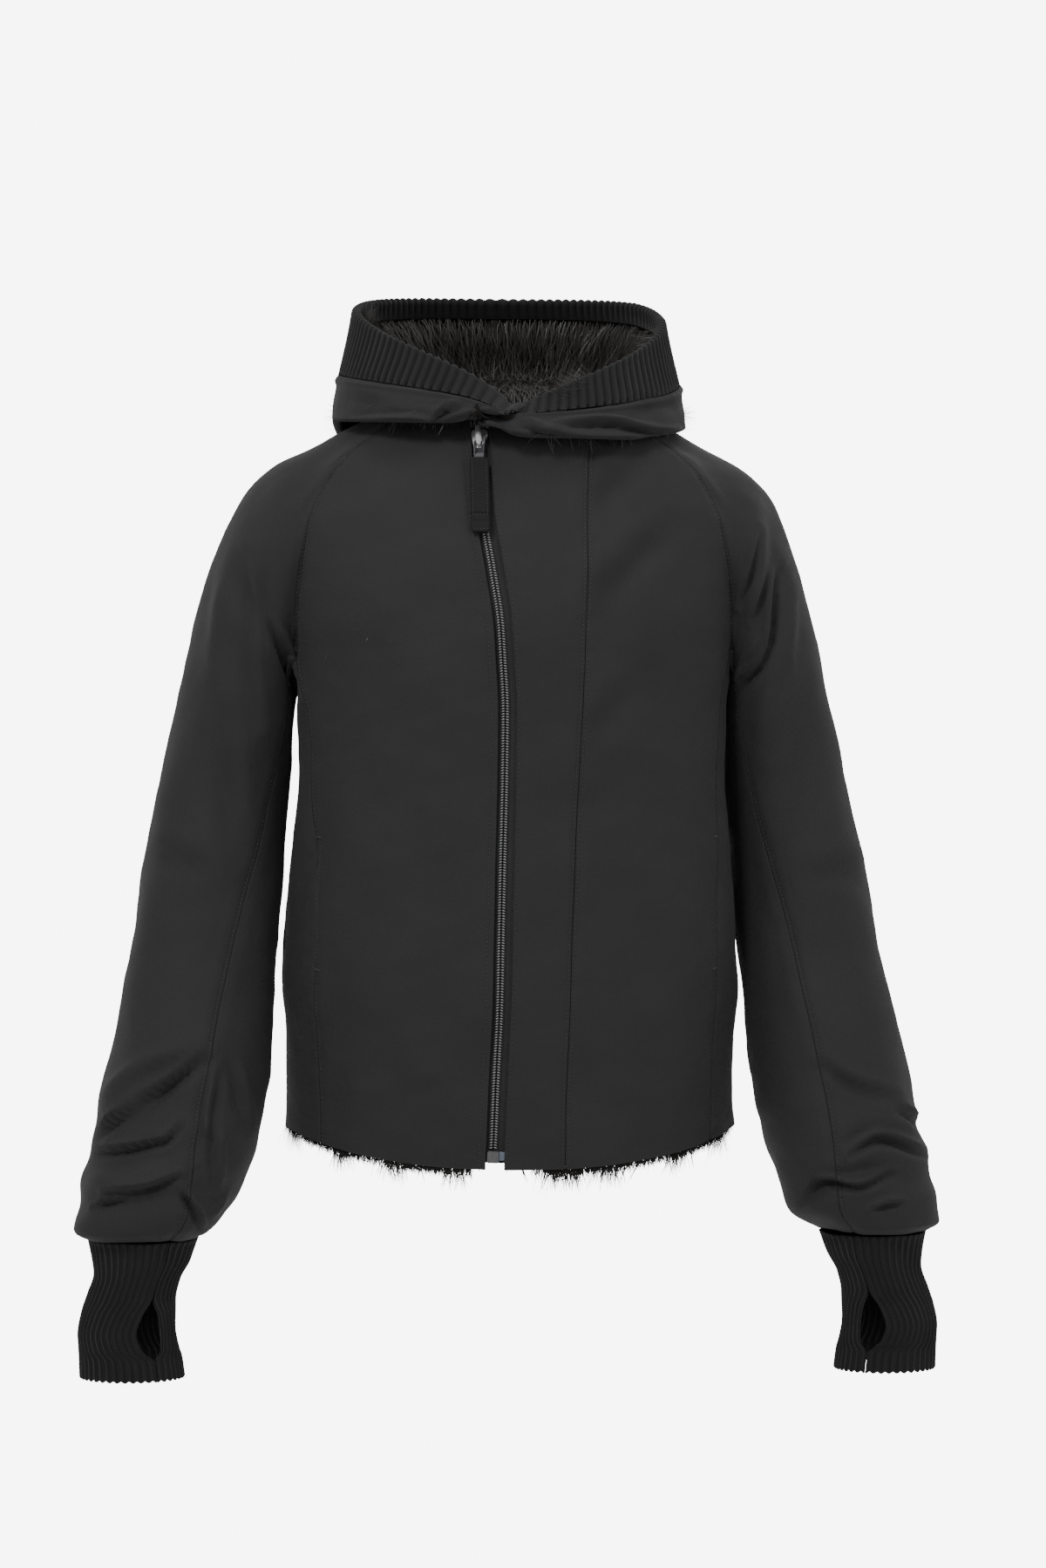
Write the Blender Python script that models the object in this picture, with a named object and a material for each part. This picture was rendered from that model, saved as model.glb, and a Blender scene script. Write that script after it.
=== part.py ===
"""Hooded zip jacket with a fur lining, in the hollow form it has when worn.

Metres, +Z up. The wearer faces -Y and +X is the wearer's left. The origin is the middle
of the neck, level with the front end of the neck seam. Tables are in centimetres and
degrees; each is read as a smooth curve through its rows.
"""
import math

import bmesh
import bpy
import numpy as np

CM = 0.01
MM = 0.001

# ---- driving sizes ---------------------------------------------------------------------
SHELL_WALL = 2.5 * MM          # woven shell with its thin padding
LINING_WALL = 2.5 * MM         # backing and roots of the fur
LINING_SPACE = 3.0 * MM        # between shell and fur lining
KNIT_WALL = 2.8 * MM           # rib knit, at the bottom of a rib groove
RIB_RISE = 0.9 * MM            # crest of a rib above its groove
SEAM_GAP = 0.3 * MM            # each piece is drawn in this far at a seam, or lies this far off
CORNER_PULL = 0.6 * MM         # a panel's corner is drawn in this far
HOLLOW_SEAM = 0.9              # cosine of the turn from which a seam counts as a hollow corner
CORNER_THINNESS = 0.4          # the wall at a corner is this share of the rest
RING_POWER = 2.0 / 2.35        # squareness of the body's rings
SLEEVE_POWER = 2.0 / 2.15      # squareness of the sleeve's rings

LINING_HEM_LEVEL = -0.7        # the fur lining ends this far below the shell's hem
UNDERARM_LEVEL = 38.5
NECK_LEVEL = 62.0
UNDERARM_DIP = 1.6             # the side panel's top edge sinks this far under the arm
LOWER_ROWS, YOKE_ROWS = 10, 7
ZIP_SLOT_RIGHT, ZIP_SLOT_LEFT = 0.55, 0.9      # panel edges from the middle of the zip

# The body's rings, from below the hem up to the neck. level runs along the side; a seam
# angle counts from the front middle (or the back middle) round to the seam.
TORSO_COLUMNS = ("half_width", "pinch", "side_z", "front_y", "front_mid", "front_z", "front_seam",
                 "back_y", "back_mid", "back_z", "back_seam", "zip_x", "placket_x")
TORSO = [
    # level, half, pinch, side_z, front_y, mid, front_z, seam, back_y, mid, back_z, seam, zip_x, placket_x
    (-1.2, 18.30, 0.0, -57.40, -13.40, 0.0, -59.95, 56.0, 12.3, 0.0, -58.5, 54.0, -2.30, 3.40),
    (0.0, 18.35, 0.0, -56.20, -13.50, 0.0, -58.70, 56.0, 12.4, 0.0, -57.3, 54.0, -2.30, 3.40),
    (3.0, 18.20, 0.0, -53.30, -13.70, 0.0, -55.60, 57.0, 12.3, 0.0, -54.2, 54.5, -2.20, 3.42),
    (7.0, 18.25, 0.0, -49.30, -13.80, 0.0, -51.30, 57.5, 12.0, 0.0, -50.0, 55.0, -2.03, 3.55),
    (12.0, 18.70, 0.1, -44.30, -13.80, 0.0, -46.00, 57.0, 11.6, 0.0, -45.0, 55.0, -1.76, 3.78),
    (17.0, 18.60, 0.3, -39.30, -13.60, 0.0, -40.80, 58.2, 11.3, 0.0, -40.0, 56.0, -1.64, 3.97),
    (23.0, 18.25, 0.8, -33.30, -13.40, 0.0, -34.60, 61.0, 11.2, 0.0, -34.0, 58.0, -1.50, 4.22),
    (29.0, 17.90, 1.2, -27.30, -13.20, 0.0, -28.20, 63.6, 11.4, 0.0, -27.8, 60.0, -1.33, 4.52),
    (34.0, 18.00, 1.4, -22.20, -13.20, 0.0, -22.80, 65.5, 11.6, 0.0, -22.6, 63.0, -1.27, 4.80),
    (38.5, 18.50, 1.7, -17.63, -13.20, 0.0, -18.20, 69.5, 11.8, 0.0, -18.2, 67.5, -1.50, 5.02),
    (40.6, 18.66, 1.7, -15.57, -13.10, -1.1, -15.80, 68.0, 11.9, 1.2, -15.8, 67.1, -1.65, 5.10),
    (44.4, 19.18, 1.0, -11.86, -12.60, -1.6, -11.60, 62.0, 11.8, 1.5, -11.6, 60.2, -2.25, 5.25),
    (48.4, 19.42, 0.5, -8.04, -11.60, -1.9, -7.60, 56.0, 11.3, 2.4, -7.3, 52.8, -2.85, 5.35),
    (52.7, 17.76, 0.0, -3.82, -10.50, -0.9, -4.10, 54.0, 10.4, 4.2, -3.2, 48.0, -3.05, 5.50),
    (57.6, 13.47, 0.0, 0.00, -9.50, -0.7, -1.60, 54.0, 8.8, 4.1, 1.0, 44.8, -3.12, 5.70),
    (62.0, 8.80, 0.0, 2.70, -8.50, 0.0, 0.20, 57.4, 6.0, 0.0, 4.5, 39.6, -3.20, 5.85),
]
PINCH_REACH = 5.0              # the arm presses the side in over this far, front and back

# The left sleeve's rings, from the raglan seam down to the cuff. settle is the share of
# the raglan seam's own shape that a ring still has.
SLEEVE = [
    # station, inner_x, inner_z, outer_x, outer_z, mid_y, half_depth, front_seam, back_seam, settle
    (0, 16.80, -19.30, 8.80, 2.70, 0.2, 8.1, 38.0, 38.0, 1.00),
    (1, 17.00, -19.90, 12.60, 0.85, 0.4, 8.1, 36.0, 38.0, 0.74),
    (2, 17.20, -20.70, 16.00, -0.95, 0.6, 8.1, 35.0, 38.0, 0.50),
    (3, 17.40, -21.70, 19.30, -2.65, 0.8, 8.1, 34.0, 39.0, 0.28),
    (4, 17.55, -23.00, 21.60, -4.80, 1.0, 8.0, 35.0, 40.0, 0.12),
    (5, 17.70, -24.80, 23.20, -7.80, 1.2, 7.9, 37.0, 42.0, 0.03),
    (6, 17.85, -27.00, 24.70, -11.80, 1.4, 7.7, 40.0, 45.0, 0.00),
    (7, 18.05, -29.80, 26.10, -16.60, 1.5, 7.4, 45.0, 49.0, 0.00),
    (8, 18.30, -33.00, 27.25, -22.00, 1.4, 7.1, 52.0, 54.0, 0.00),
    (9, 18.55, -36.60, 28.50, -28.00, 0.9, 6.9, 59.0, 59.0, 0.00),
    (10, 18.80, -40.40, 29.70, -34.50, 0.1, 6.8, 66.0, 64.0, 0.00),
    (11, 19.10, -44.20, 30.75, -40.60, -1.1, 6.7, 71.0, 68.0, 0.00),
    (12, 19.35, -48.00, 31.60, -45.40, -2.3, 6.6, 75.0, 70.0, 0.00),
    (13, 19.60, -51.40, 32.35, -49.40, -3.2, 6.6, 77.0, 72.0, 0.00),
    (14, 20.00, -54.40, 33.05, -52.80, -3.9, 6.5, 78.0, 72.0, 0.00),
    (15, 20.50, -57.00, 33.55, -55.60, -4.4, 6.5, 77.0, 70.0, 0.00),
    (16, 21.10, -59.20, 34.05, -58.20, -4.8, 6.4, 74.0, 67.0, 0.00),
    (17, 21.80, -61.00, 34.50, -60.40, -5.1, 6.2, 70.0, 64.0, 0.00),
    (18, 22.60, -62.50, 34.95, -62.30, -5.3, 6.0, 66.0, 62.0, 0.00),
    (19, 23.90, -63.80, 35.10, -63.80, -5.4, 5.6, 63.0, 60.0, 0.00),
    (20, 25.20, -64.60, 34.10, -64.60, -5.5, 4.3, 62.0, 60.0, 0.00),
]
LAST_STATION = 20

LEFT_ARM_INSET = 0.6           # the left arm hangs this much closer than the table says
INSET_FROM_X, INSET_FULL_X = 18.0, 28.0
INSET_FROM_Z, INSET_FULL_Z = -3.0, -17.0

# The left cuff's level rings; slit is half the width of the thumb hole.
CUFF = [
    # z, middle_x, middle_y, half_width, half_depth, slit
    (-64.66, 29.65, -5.5, 4.40, 4.25, 0.00),
    (-66.40, 29.80, -5.6, 3.95, 3.75, 0.00),
    (-67.90, 30.20, -5.8, 3.50, 3.45, 0.00),
    (-69.00, 30.55, -5.9, 3.55, 3.40, 0.03),
    (-70.40, 30.80, -6.1, 3.75, 3.35, 0.75),
    (-71.90, 30.95, -6.2, 3.90, 3.35, 1.15),
    (-73.20, 30.80, -6.2, 4.00, 3.35, 0.85),
    (-74.00, 30.65, -6.2, 4.10, 3.40, 0.03),
    (-75.65, 30.50, -6.2, 4.20, 3.45, 0.03),
]
CUFF_SLIT_ANGLE = 60.0
CUFF_RIBS = 40                 # round the whole cuff, half of them in each of its two nodes

# The hood's rings as it lies on the back: from the neck seam out under the hood, round
# its fold, up its outer side to the rib band, and up the band to its rim.
HOOD = [
    # ring, half_width, front_y, back_y, front_z, side_z, back_z, sag_left, rise, end_x
    (0, 8.80, -8.50, 6.0, 0.35, 2.80, 4.62, 0.00, 2.00, -3.20),
    (1, 10.70, -9.30, 10.4, 0.30, 2.60, 2.20, 0.00, 1.30, -3.20),
    (2, 12.70, -10.10, 13.6, 0.10, 2.00, -4.60, 0.15, 1.40, -3.10),
    (3, 13.90, -10.80, 15.9, -0.05, 1.05, -10.80, 0.50, 1.60, -3.00),
    (4, 14.45, -11.40, 18.3, 0.20, 1.40, -10.60, 0.75, 1.70, -2.80),
    (5, 14.40, -11.50, 19.4, 0.75, 2.50, -4.60, 0.80, 1.50, -2.40),
    (6, 14.20, -11.10, 18.7, 1.20, 3.70, 2.60, 0.75, 1.10, -1.90),
    (7, 14.00, -10.50, 16.8, 1.60, 4.90, 8.30, 0.65, 0.85, -1.30),
    (8, 12.35, -9.10, 12.6, 2.30, 10.20, 12.80, 0.40, 0.75, -0.50),
]
HOOD_POWER = 2.0 / 2.25
HOOD_END_GAP = 0.35            # degrees from the meeting line to each end
HOOD_LIFT = 0.06               # the hood's neck edge lies this far above the body's
HOOD_COLUMNS = 56
RIBS_PER_HOOD_COLUMN = 2
HOOD_NECK_RING = 2             # the hood's cloth is joined here, under its fold
BAND_FIRST_RING, RIM_RING = 7.0, 8.0
NECK_LINING_RINGS = (0.5, 1.0, 2.0, 2.3)       # the fur that shows round the neck
HOOD_LINING_RINGS = (5.2, 6.0, 6.9, 7.45)      # and up the inside of the hood
HOOD_LINING_SPACE, BAND_INSET = 1.2 * MM, 2.2 * MM
SAG_SPAN = 120.0               # the hood sags on its left, from its end round to this angle

# Large folds: seen from view, through three points; the cloth dips by depth on the line
# and swells by bulge beside it, on the side to the left of its direction.
FOLDS = [
    # view, depth, width, bulge, h1, z1, h2, z2, h3, z3
    ("front", 0.45, 0.9, 0.45, -33.6, -56.4, -30.4, -54.4, -24.6, -50.2),
    ("front", 0.40, 0.8, 0.45, -34.4, -60.9, -30.5, -61.0, -26.4, -59.2),
    ("front", 0.45, 0.8, 0.45, 31.9, -58.0, 28.5, -56.4, 25.8, -57.8),
    ("front", 0.50, 0.8, 0.45, 30.0, -59.2, 26.0, -59.6, 22.0, -61.8),
    ("front", 0.50, 1.1, 0.50, 20.4, -15.6, 21.2, -11.0, 21.5, -4.5),
    ("front", 0.45, 1.0, 0.40, -20.2, -16.4, -20.9, -14.4, -21.8, -11.6),
    ("front", 0.25, 1.4, 0.25, 5.8, -17.5, 8.5, -12.0, 12.6, -6.5),
    ("front", 0.25, 1.4, 0.25, -18.0, -45.0, -16.6, -37.0, -15.4, -30.5),
    ("back", 0.45, 0.9, 0.45, 33.4, -57.0, 29.5, -55.6, 24.6, -57.6),
    ("back", 0.45, 0.9, 0.45, -33.4, -58.4, -29.0, -57.0, -24.0, -58.6),
    ("back", 0.45, 1.1, 0.40, 20.4, -16.0, 21.0, -12.0, 21.3, -8.0),
    ("back", 0.45, 1.1, 0.40, -20.4, -16.0, -21.0, -12.0, -21.3, -8.0),
]

CHARCOAL = (0.031, 0.031, 0.033)
KNIT_BLACK = (0.016, 0.016, 0.017)
FUR_BLACK = (0.010, 0.009, 0.009)
ZIP_BLACK = (0.018, 0.018, 0.019)
DARK_METAL = (0.20, 0.20, 0.21)
SILVER = (0.62, 0.62, 0.63)


# ---- curves and surfaces ----------------------------------------------------------------
def curve(table, at):
    """Values of a table's columns at the given keys, on a smooth curve without overshoot."""
    rows = np.asarray(table, float)
    keys, values = rows[:, 0], rows[:, 1:]
    rise = np.diff(values, axis=0) / np.diff(keys)[:, None]
    slopes = np.zeros_like(values)
    slopes[0], slopes[-1] = rise[0], rise[-1]
    same_way = rise[:-1] * rise[1:] > 0
    total = np.where(same_way, rise[:-1] + rise[1:], 1.0)
    slopes[1:-1] = np.where(same_way, 2.0 * rise[:-1] * rise[1:] / total, 0.0)
    at = np.atleast_1d(np.asarray(at, float))
    row = np.clip(np.searchsorted(keys, at, side="right") - 1, 0, len(keys) - 2)
    span = (keys[row + 1] - keys[row])[..., None]
    s = ((at - keys[row]) / span[..., 0])[..., None]
    return ((1 + 2 * s) * (1 - s) ** 2 * values[row] + s * (1 - s) ** 2 * span * slopes[row]
            + s * s * (3 - 2 * s) * values[row + 1] + s * s * (s - 1) * span * slopes[row + 1])


def power(value, exponent):
    """A signed power, which bends a circle into a superellipse."""
    return np.sign(value) * np.abs(value) ** exponent


def torso_column(level, name):
    return curve(TORSO, level)[..., TORSO_COLUMNS.index(name)]


def torso(level, angle):
    """Points of the body's outer surface; angle 0 is the front middle, +90 the left side."""
    level, angle = np.broadcast_arrays(np.asarray(level, float), np.asarray(angle, float))
    row = curve(TORSO, level.ravel()).reshape(level.shape + (-1,))
    value = dict(zip(TORSO_COLUMNS, np.moveaxis(row, -1, 0)))
    sine, cosine = np.sin(np.radians(angle)), np.cos(np.radians(angle))
    front = cosine > 0
    middle = np.where(front, value["front_mid"], value["back_mid"])
    edge = np.where(front, value["front_y"], value["back_y"])
    top = np.where(front, value["front_z"], value["back_z"])
    y = middle + (edge - middle) * np.abs(cosine) ** RING_POWER
    press = np.clip(1.0 - (y / PINCH_REACH) ** 2, 0.0, None) ** 2
    x = value["half_width"] * power(sine, RING_POWER) - np.sign(sine) * value["pinch"] * press
    z = value["side_z"] + (top - value["side_z"]) * cosine ** 2
    return np.stack([x, y, z], axis=-1) * CM


def angle_at(level, x):
    """The angle at which a ring of the body passes x on its front."""
    half = torso_column(level, "half_width")
    return np.degrees(np.arcsin(power(x / half, 1.0 / RING_POWER)))


def fan(start, stop, count):
    """Rows of count + 1 evenly spaced values between two columns of values."""
    start, stop = np.atleast_1d(start), np.atleast_1d(stop)
    share = np.linspace(0.0, 1.0, count + 1)
    return start[:, None] + (stop - start)[:, None] * share[None, :]


def body_levels():
    lower = np.linspace(0.0, UNDERARM_LEVEL, LOWER_ROWS + 1)
    yoke = np.linspace(UNDERARM_LEVEL, NECK_LEVEL, YOKE_ROWS + 1)
    return np.concatenate([lower, yoke[1:]])


def side_grid(columns, bottom=0.0, rows=LOWER_ROWS):
    """The left side panel, between its front and back seams, with its sunken top edge."""
    share = np.linspace(0.0, 1.0, columns + 1)
    height = np.linspace(0.0, 1.0, rows + 1)
    top = UNDERARM_LEVEL - UNDERARM_DIP * np.sin(np.pi * share)
    top[0] = top[-1] = UNDERARM_LEVEL
    level = bottom + height[:, None] * (top - bottom)[None, :]
    straight = bottom + height * (UNDERARM_LEVEL - bottom)
    first = torso_column(straight, "front_seam")
    last = 180.0 - torso_column(straight, "back_seam")
    return torso(level, fan(first, last, columns))


def front_grid(levels, start, stop, columns):
    return torso(levels[:, None], fan(start, stop, columns))


def sleeve_ring(station, angle):
    """Points of the left sleeve's plain rings; angle 0 faces the body, 90 the front."""
    values = curve(SLEEVE, station)
    inner_x, inner_z, outer_x, outer_z, mid_y, depth = values[..., :6].T
    inner = np.stack([inner_x, mid_y, inner_z], axis=-1)
    outer = np.stack([outer_x, mid_y, outer_z], axis=-1)
    middle, reach = (inner + outer) / 2, (inner - outer) / 2
    turn = np.radians(angle)
    along = power(np.cos(turn), SLEEVE_POWER)[..., None]
    across = power(np.sin(turn), SLEEVE_POWER) * depth
    points = middle + reach * along
    points[..., 1] -= across
    return points * CM


def raglan_ring(yoke_levels, neck_columns, side_columns):
    """The left armhole: up the front raglan, round the neck, down the back, under the arm."""
    front = torso(yoke_levels, torso_column(yoke_levels, "front_seam"))
    neck_angles = fan(torso_column(NECK_LEVEL, "front_seam"),
                      180.0 - torso_column(NECK_LEVEL, "back_seam"), neck_columns)[0]
    neck = torso(NECK_LEVEL, neck_angles)
    back = torso(yoke_levels[::-1], 180.0 - torso_column(yoke_levels[::-1], "back_seam"))
    underarm = side_grid(side_columns)[-1][::-1]
    return np.concatenate([front, neck[1:-1], back, underarm[1:-1]])


def sleeve_grid(ring, under_columns, stations):
    """The left sleeve's points: a row for each station, a column for each point of the ring."""
    first = curve(SLEEVE, 0.0)[0]
    inner, outer = np.array([first[0], first[1]]), np.array([first[2], first[3]])
    middle, reach = (inner + outer) / 2, (inner - outer) / 2
    offset = ring[:, [0, 2]] / CM - middle
    along = offset @ reach / (reach @ reach)
    across = (first[4] - ring[:, 1] / CM) / first[5]
    angle = np.degrees(np.arctan2(across, along)) % 360.0
    upper_count = len(ring) - under_columns + 1
    upper = angle[:upper_count]
    under = np.concatenate([angle[upper_count - 1:] - 360.0, angle[:1]])
    under = np.where(under < -180.0, under + 360.0, under)
    upper_share = (upper - upper[0]) / (upper[-1] - upper[0])
    under_share = (under - under[0]) / (under[-1] - under[0])
    values = curve(SLEEVE, stations)
    rows = []
    for station, value in zip(stations, values):
        front_seam, back_seam, settle = value[6:9]
        upper_angle = front_seam + upper_share * (360.0 - back_seam - front_seam)
        under_angle = -back_seam + under_share * (front_seam + back_seam)
        turn = np.concatenate([upper_angle, under_angle[1:-1]])
        rows.append((turn, settle))
    plain_ring = sleeve_ring(np.zeros(len(ring)), rows[0][0])
    own_shape = ring - plain_ring
    grid = [sleeve_ring(np.full(len(ring), station), turn) + settle * own_shape
            for station, (turn, settle) in zip(stations, rows)]
    grid = np.array(grid)
    grid[0] = ring
    return np.concatenate([grid, grid[:, :1]], axis=1)


def drawn_in(points):
    """The left arm's points, moved to where that arm hangs."""
    out = (points[..., 0] / CM - INSET_FROM_X) / (INSET_FULL_X - INSET_FROM_X)
    low = (points[..., 2] / CM - INSET_FROM_Z) / (INSET_FULL_Z - INSET_FROM_Z)
    inset = LEFT_ARM_INSET * CM * np.clip(out, 0.0, 1.0) * np.clip(low, 0.0, 1.0)
    return points - inset[..., None] * np.array([1.0, 0.0, 0.0])


def hood(ring, share):
    """Points of the hood; share runs 0 to 1 from its left end round the back to its right end."""
    ring, share = np.broadcast_arrays(np.asarray(ring, float), np.asarray(share, float))
    values = curve(HOOD, ring.ravel()).reshape(ring.shape + (-1,))
    half, front_y, back_y, front_z, side_z, back_z, sag, rise, end_x = np.moveaxis(values, -1, 0)
    end = np.degrees(np.arcsin(power(end_x / half, 1.0 / HOOD_POWER)))
    angle = end + HOOD_END_GAP + share * (360.0 - 2 * HOOD_END_GAP)
    sine, cosine = np.sin(np.radians(angle)), np.cos(np.radians(angle))
    front = cosine > 0
    y = np.where(front, front_y, back_y) * np.abs(cosine) ** HOOD_POWER
    x = half * power(sine, HOOD_POWER)
    past_end = np.where(share < 0.5, (angle - end) / (90.0 - end), (end + 360.0 - angle) / (90.0 + end))
    climb = front_z + (side_z - front_z) * np.clip(past_end, 0.0, 1.0) ** rise
    z = np.where(front, climb, side_z + (back_z - side_z) * cosine ** 2)
    z = z - sag * np.sin(np.pi * np.clip((angle - end) / SAG_SPAN, 0.0, 1.0))
    points = np.stack([x, y, z], axis=-1) * CM
    neck = torso(NECK_LEVEL, angle) + np.array([0.0, 0.0, HOOD_LIFT * CM])
    near_neck = np.clip(1.0 - ring, 0.0, 1.0)[..., None]
    return points + near_neck * (neck - points)


def cuff_ring(z, angle):
    """Points of the left cuff at height z, and the width of its slit, in metres."""
    middle_x, middle_y, half_width, half_depth, slit = curve(CUFF[::-1], z)[0]
    turn = np.radians(angle)
    x = middle_x - half_width * np.cos(turn)
    y = middle_y - half_depth * np.sin(turn)
    return np.stack([x, y, np.full_like(x, z)], axis=-1) * CM, slit, half_width


# ---- cloth meshes -----------------------------------------------------------------------
def fold_shift(points, normals):
    """How far the large folds move each point along its normal."""
    shift = np.zeros(len(points))
    for view, depth, width, bulge, *path in FOLDS:
        start, through, stop = np.array(path).reshape(3, 2) * CM
        steps = np.linspace(0.0, 1.0, 25)[:, None]
        bend = 2 * through - (start + stop) / 2
        line = (1 - steps) ** 2 * start + 2 * steps * (1 - steps) * bend + steps ** 2 * stop
        away = points[:, None, [0, 2]] - line[None]
        distance = np.linalg.norm(away, axis=2)
        nearest = distance.argmin(axis=1)
        pick = np.arange(len(points))
        tangent = np.gradient(line, axis=0)[nearest]
        offset = away[pick, nearest]
        side = np.sign(tangent[:, 0] * offset[:, 1] - tangent[:, 1] * offset[:, 0])
        reach = side * distance[pick, nearest] / (width * CM)
        taper = np.sin(np.pi * (0.08 + 0.84 * nearest / (len(line) - 1)))
        facing = -normals[:, 1] if view == "front" else normals[:, 1]
        facing = np.clip(facing * 1.6, 0.0, 1.0)
        profile = -depth * np.exp(-reach ** 2) + bulge * np.exp(-((reach - 1.7) / 1.3) ** 2)
        shift += profile * CM * taper * facing
    return shift


class Cloth:
    """Panels that share their seam points, so that they also share the normals there."""

    def __init__(self):
        self.index, self.points, self.panels = {}, [], {}

    def add(self, name, grid, flip=False):
        """Join a grid of points to a panel; grids of one name make one panel."""
        keys = np.empty(grid.shape[:2], int)
        for place in np.ndindex(*keys.shape):
            key = tuple(np.round(grid[place] / 1e-5).astype(int))
            if key not in self.index:
                self.index[key] = len(self.points)
                self.points.append(grid[place])
            keys[place] = self.index[key]
        faces = self.panels.setdefault(name, [])
        for i in range(keys.shape[0] - 1):
            for j in range(keys.shape[1] - 1):
                a, b, c, d = keys[i, j], keys[i, j + 1], keys[i + 1, j + 1], keys[i + 1, j]
                faces.append((d, c, b, a) if flip else (d, a, b, c))

    def normals(self, names=None):
        """Normals at the points, from the faces of the named panels, or of all of them."""
        points = np.array(self.points)
        total = np.zeros_like(points)
        for name in names or self.panels:
            for a, b, c, d in self.panels[name]:
                face = np.cross(points[c] - points[a], points[d] - points[b])
                for corner in (a, b, c, d):
                    total[corner] += face
        return total / np.maximum(np.linalg.norm(total, axis=1), 1e-12)[:, None]

    def apply_folds(self):
        points = np.array(self.points)
        normals = self.normals()
        self.points = list(points + normals * fold_shift(points, normals)[:, None])

    def wall(self, name, thickness, offset=0.0, group=None):
        """Points and triangles of a panel as a closed wall, drawn in a little at its edges.

        Where all the panels together meet in a hollow corner, the wall follows its group's.
        """
        faces = self.panels[name]
        normals = self.normals()
        own = self.normals(group)
        apart = np.sum(normals * own, axis=1) < HOLLOW_SEAM
        normals[apart] = own[apart]
        used = sorted({corner for face in faces for corner in face})
        place = {corner: i for i, corner in enumerate(used)}
        edges = {(face[k], face[(k + 1) % 4]): face for face in faces for k in range(4)
                 if face[k] != face[(k + 1) % 4]}
        border = [edge for edge in edges if (edge[1], edge[0]) not in edges]
        pulls = {}
        for start, stop in border:
            a, b, c, d = (self.points[corner] for corner in edges[start, stop])
            inward = np.cross(np.cross(c - a, d - b), self.points[stop] - self.points[start])
            for corner in (start, stop):
                pulls.setdefault(corner, []).append(inward / np.linalg.norm(inward))
        outer = np.array([self.points[corner] - offset * normals[corner] for corner in used])
        depth = np.full((len(used), 1), thickness)
        for corner, directions in pulls.items():
            first, last = directions[0], directions[-1]
            alike = float(first @ last)
            mitre = (first + last) / max(1.0 + alike, 0.5)
            outer[place[corner]] += mitre * (SEAM_GAP if alike > 0.8 else CORNER_PULL)
            if alike < 0.8:
                depth[place[corner]] *= CORNER_THINNESS
        inner = outer - depth * normals[used]
        points = np.concatenate([outer, inner])
        triangles = []
        for a, b, c, d in (tuple(place[corner] for corner in face) for face in faces):
            for p, q, r in ((a, b, c), (a, c, d)):
                if len({p, q, r}) == 3:
                    triangles += [(p, q, r), (r + len(used), q + len(used), p + len(used))]
        for start, stop in border:
            a, b = place[start], place[stop]
            c, d = a + len(used), b + len(used)
            triangles += [(b, a, c), (b, c, d)] if start < stop else [(b, a, d), (a, c, d)]
        return points, triangles


def grid_normals(grid, wrap=False):
    """Normals of a grid of points, from its rows and columns."""
    if wrap:
        wide = np.concatenate([grid[:, -2:-1], grid, grid[:, 1:2]], axis=1)
        across = (wide[:, 2:] - wide[:, :-2])
    else:
        across = np.gradient(grid, axis=1)
    down = np.gradient(grid, axis=0)
    normal = np.cross(across, down)
    return normal / np.linalg.norm(normal, axis=2)[..., None]


def ribbed_wall(outer, inner, flip=False):
    """A closed wall from an outer grid and a plain inner grid with half its columns."""
    rows, columns = outer.shape[:2]
    inner_rows, inner_columns = inner.shape[:2]
    points = np.concatenate([outer.reshape(-1, 3), inner.reshape(-1, 3)])
    base = rows * columns

    def out(i, j):
        return i * columns + j

    def inn(i, j):
        return base + i * inner_columns + j

    faces = []
    for i in range(rows - 1):
        for j in range(columns - 1):
            faces += [(out(i, j), out(i, j + 1), out(i + 1, j + 1)),
                      (out(i, j), out(i + 1, j + 1), out(i + 1, j))]
    for i in range(inner_rows - 1):
        for j in range(inner_columns - 1):
            faces += [(inn(i + 1, j + 1), inn(i, j + 1), inn(i, j)),
                      (inn(i + 1, j), inn(i + 1, j + 1), inn(i, j))]
    for j in range(inner_columns - 1):
        a, b, c = out(0, 2 * j), out(0, 2 * j + 1), out(0, 2 * j + 2)
        d, e = inn(0, j), inn(0, j + 1)
        faces += [(b, a, d), (b, d, e), (c, b, e)]
        a, b, c = out(rows - 1, 2 * j), out(rows - 1, 2 * j + 1), out(rows - 1, 2 * j + 2)
        d, e = inn(inner_rows - 1, j), inn(inner_rows - 1, j + 1)
        faces += [(a, b, d), (d, b, e), (b, c, e)]
    step = (rows - 1) // (inner_rows - 1)
    for column, inner_column, turned in ((0, 0, False), (columns - 1, inner_columns - 1, True)):
        for i in range(inner_rows - 1):
            outer_run = [out(i * step + k, column) for k in range(step + 1)]
            far, near = inn(i + 1, inner_column), inn(i, inner_column)
            ends = [(outer_run[k], outer_run[k + 1], near) for k in range(step)]
            ends.append((outer_run[-1], far, near))
            faces += [end[::-1] if turned else end for end in ends]
    return points, [face[::-1] for face in faces] if flip else faces


# ---- Blender objects --------------------------------------------------------------------
def make_material(name, colour, roughness, metallic=0.0):
    material = bpy.data.materials.new(name)
    material.use_nodes = True
    shader = material.node_tree.nodes["Principled BSDF"]
    shader.inputs["Base Color"].default_value = (*colour, 1.0)
    shader.inputs["Roughness"].default_value = roughness
    shader.inputs["Metallic"].default_value = metallic
    material.diffuse_color = (*colour, 1.0)
    return material


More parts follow.
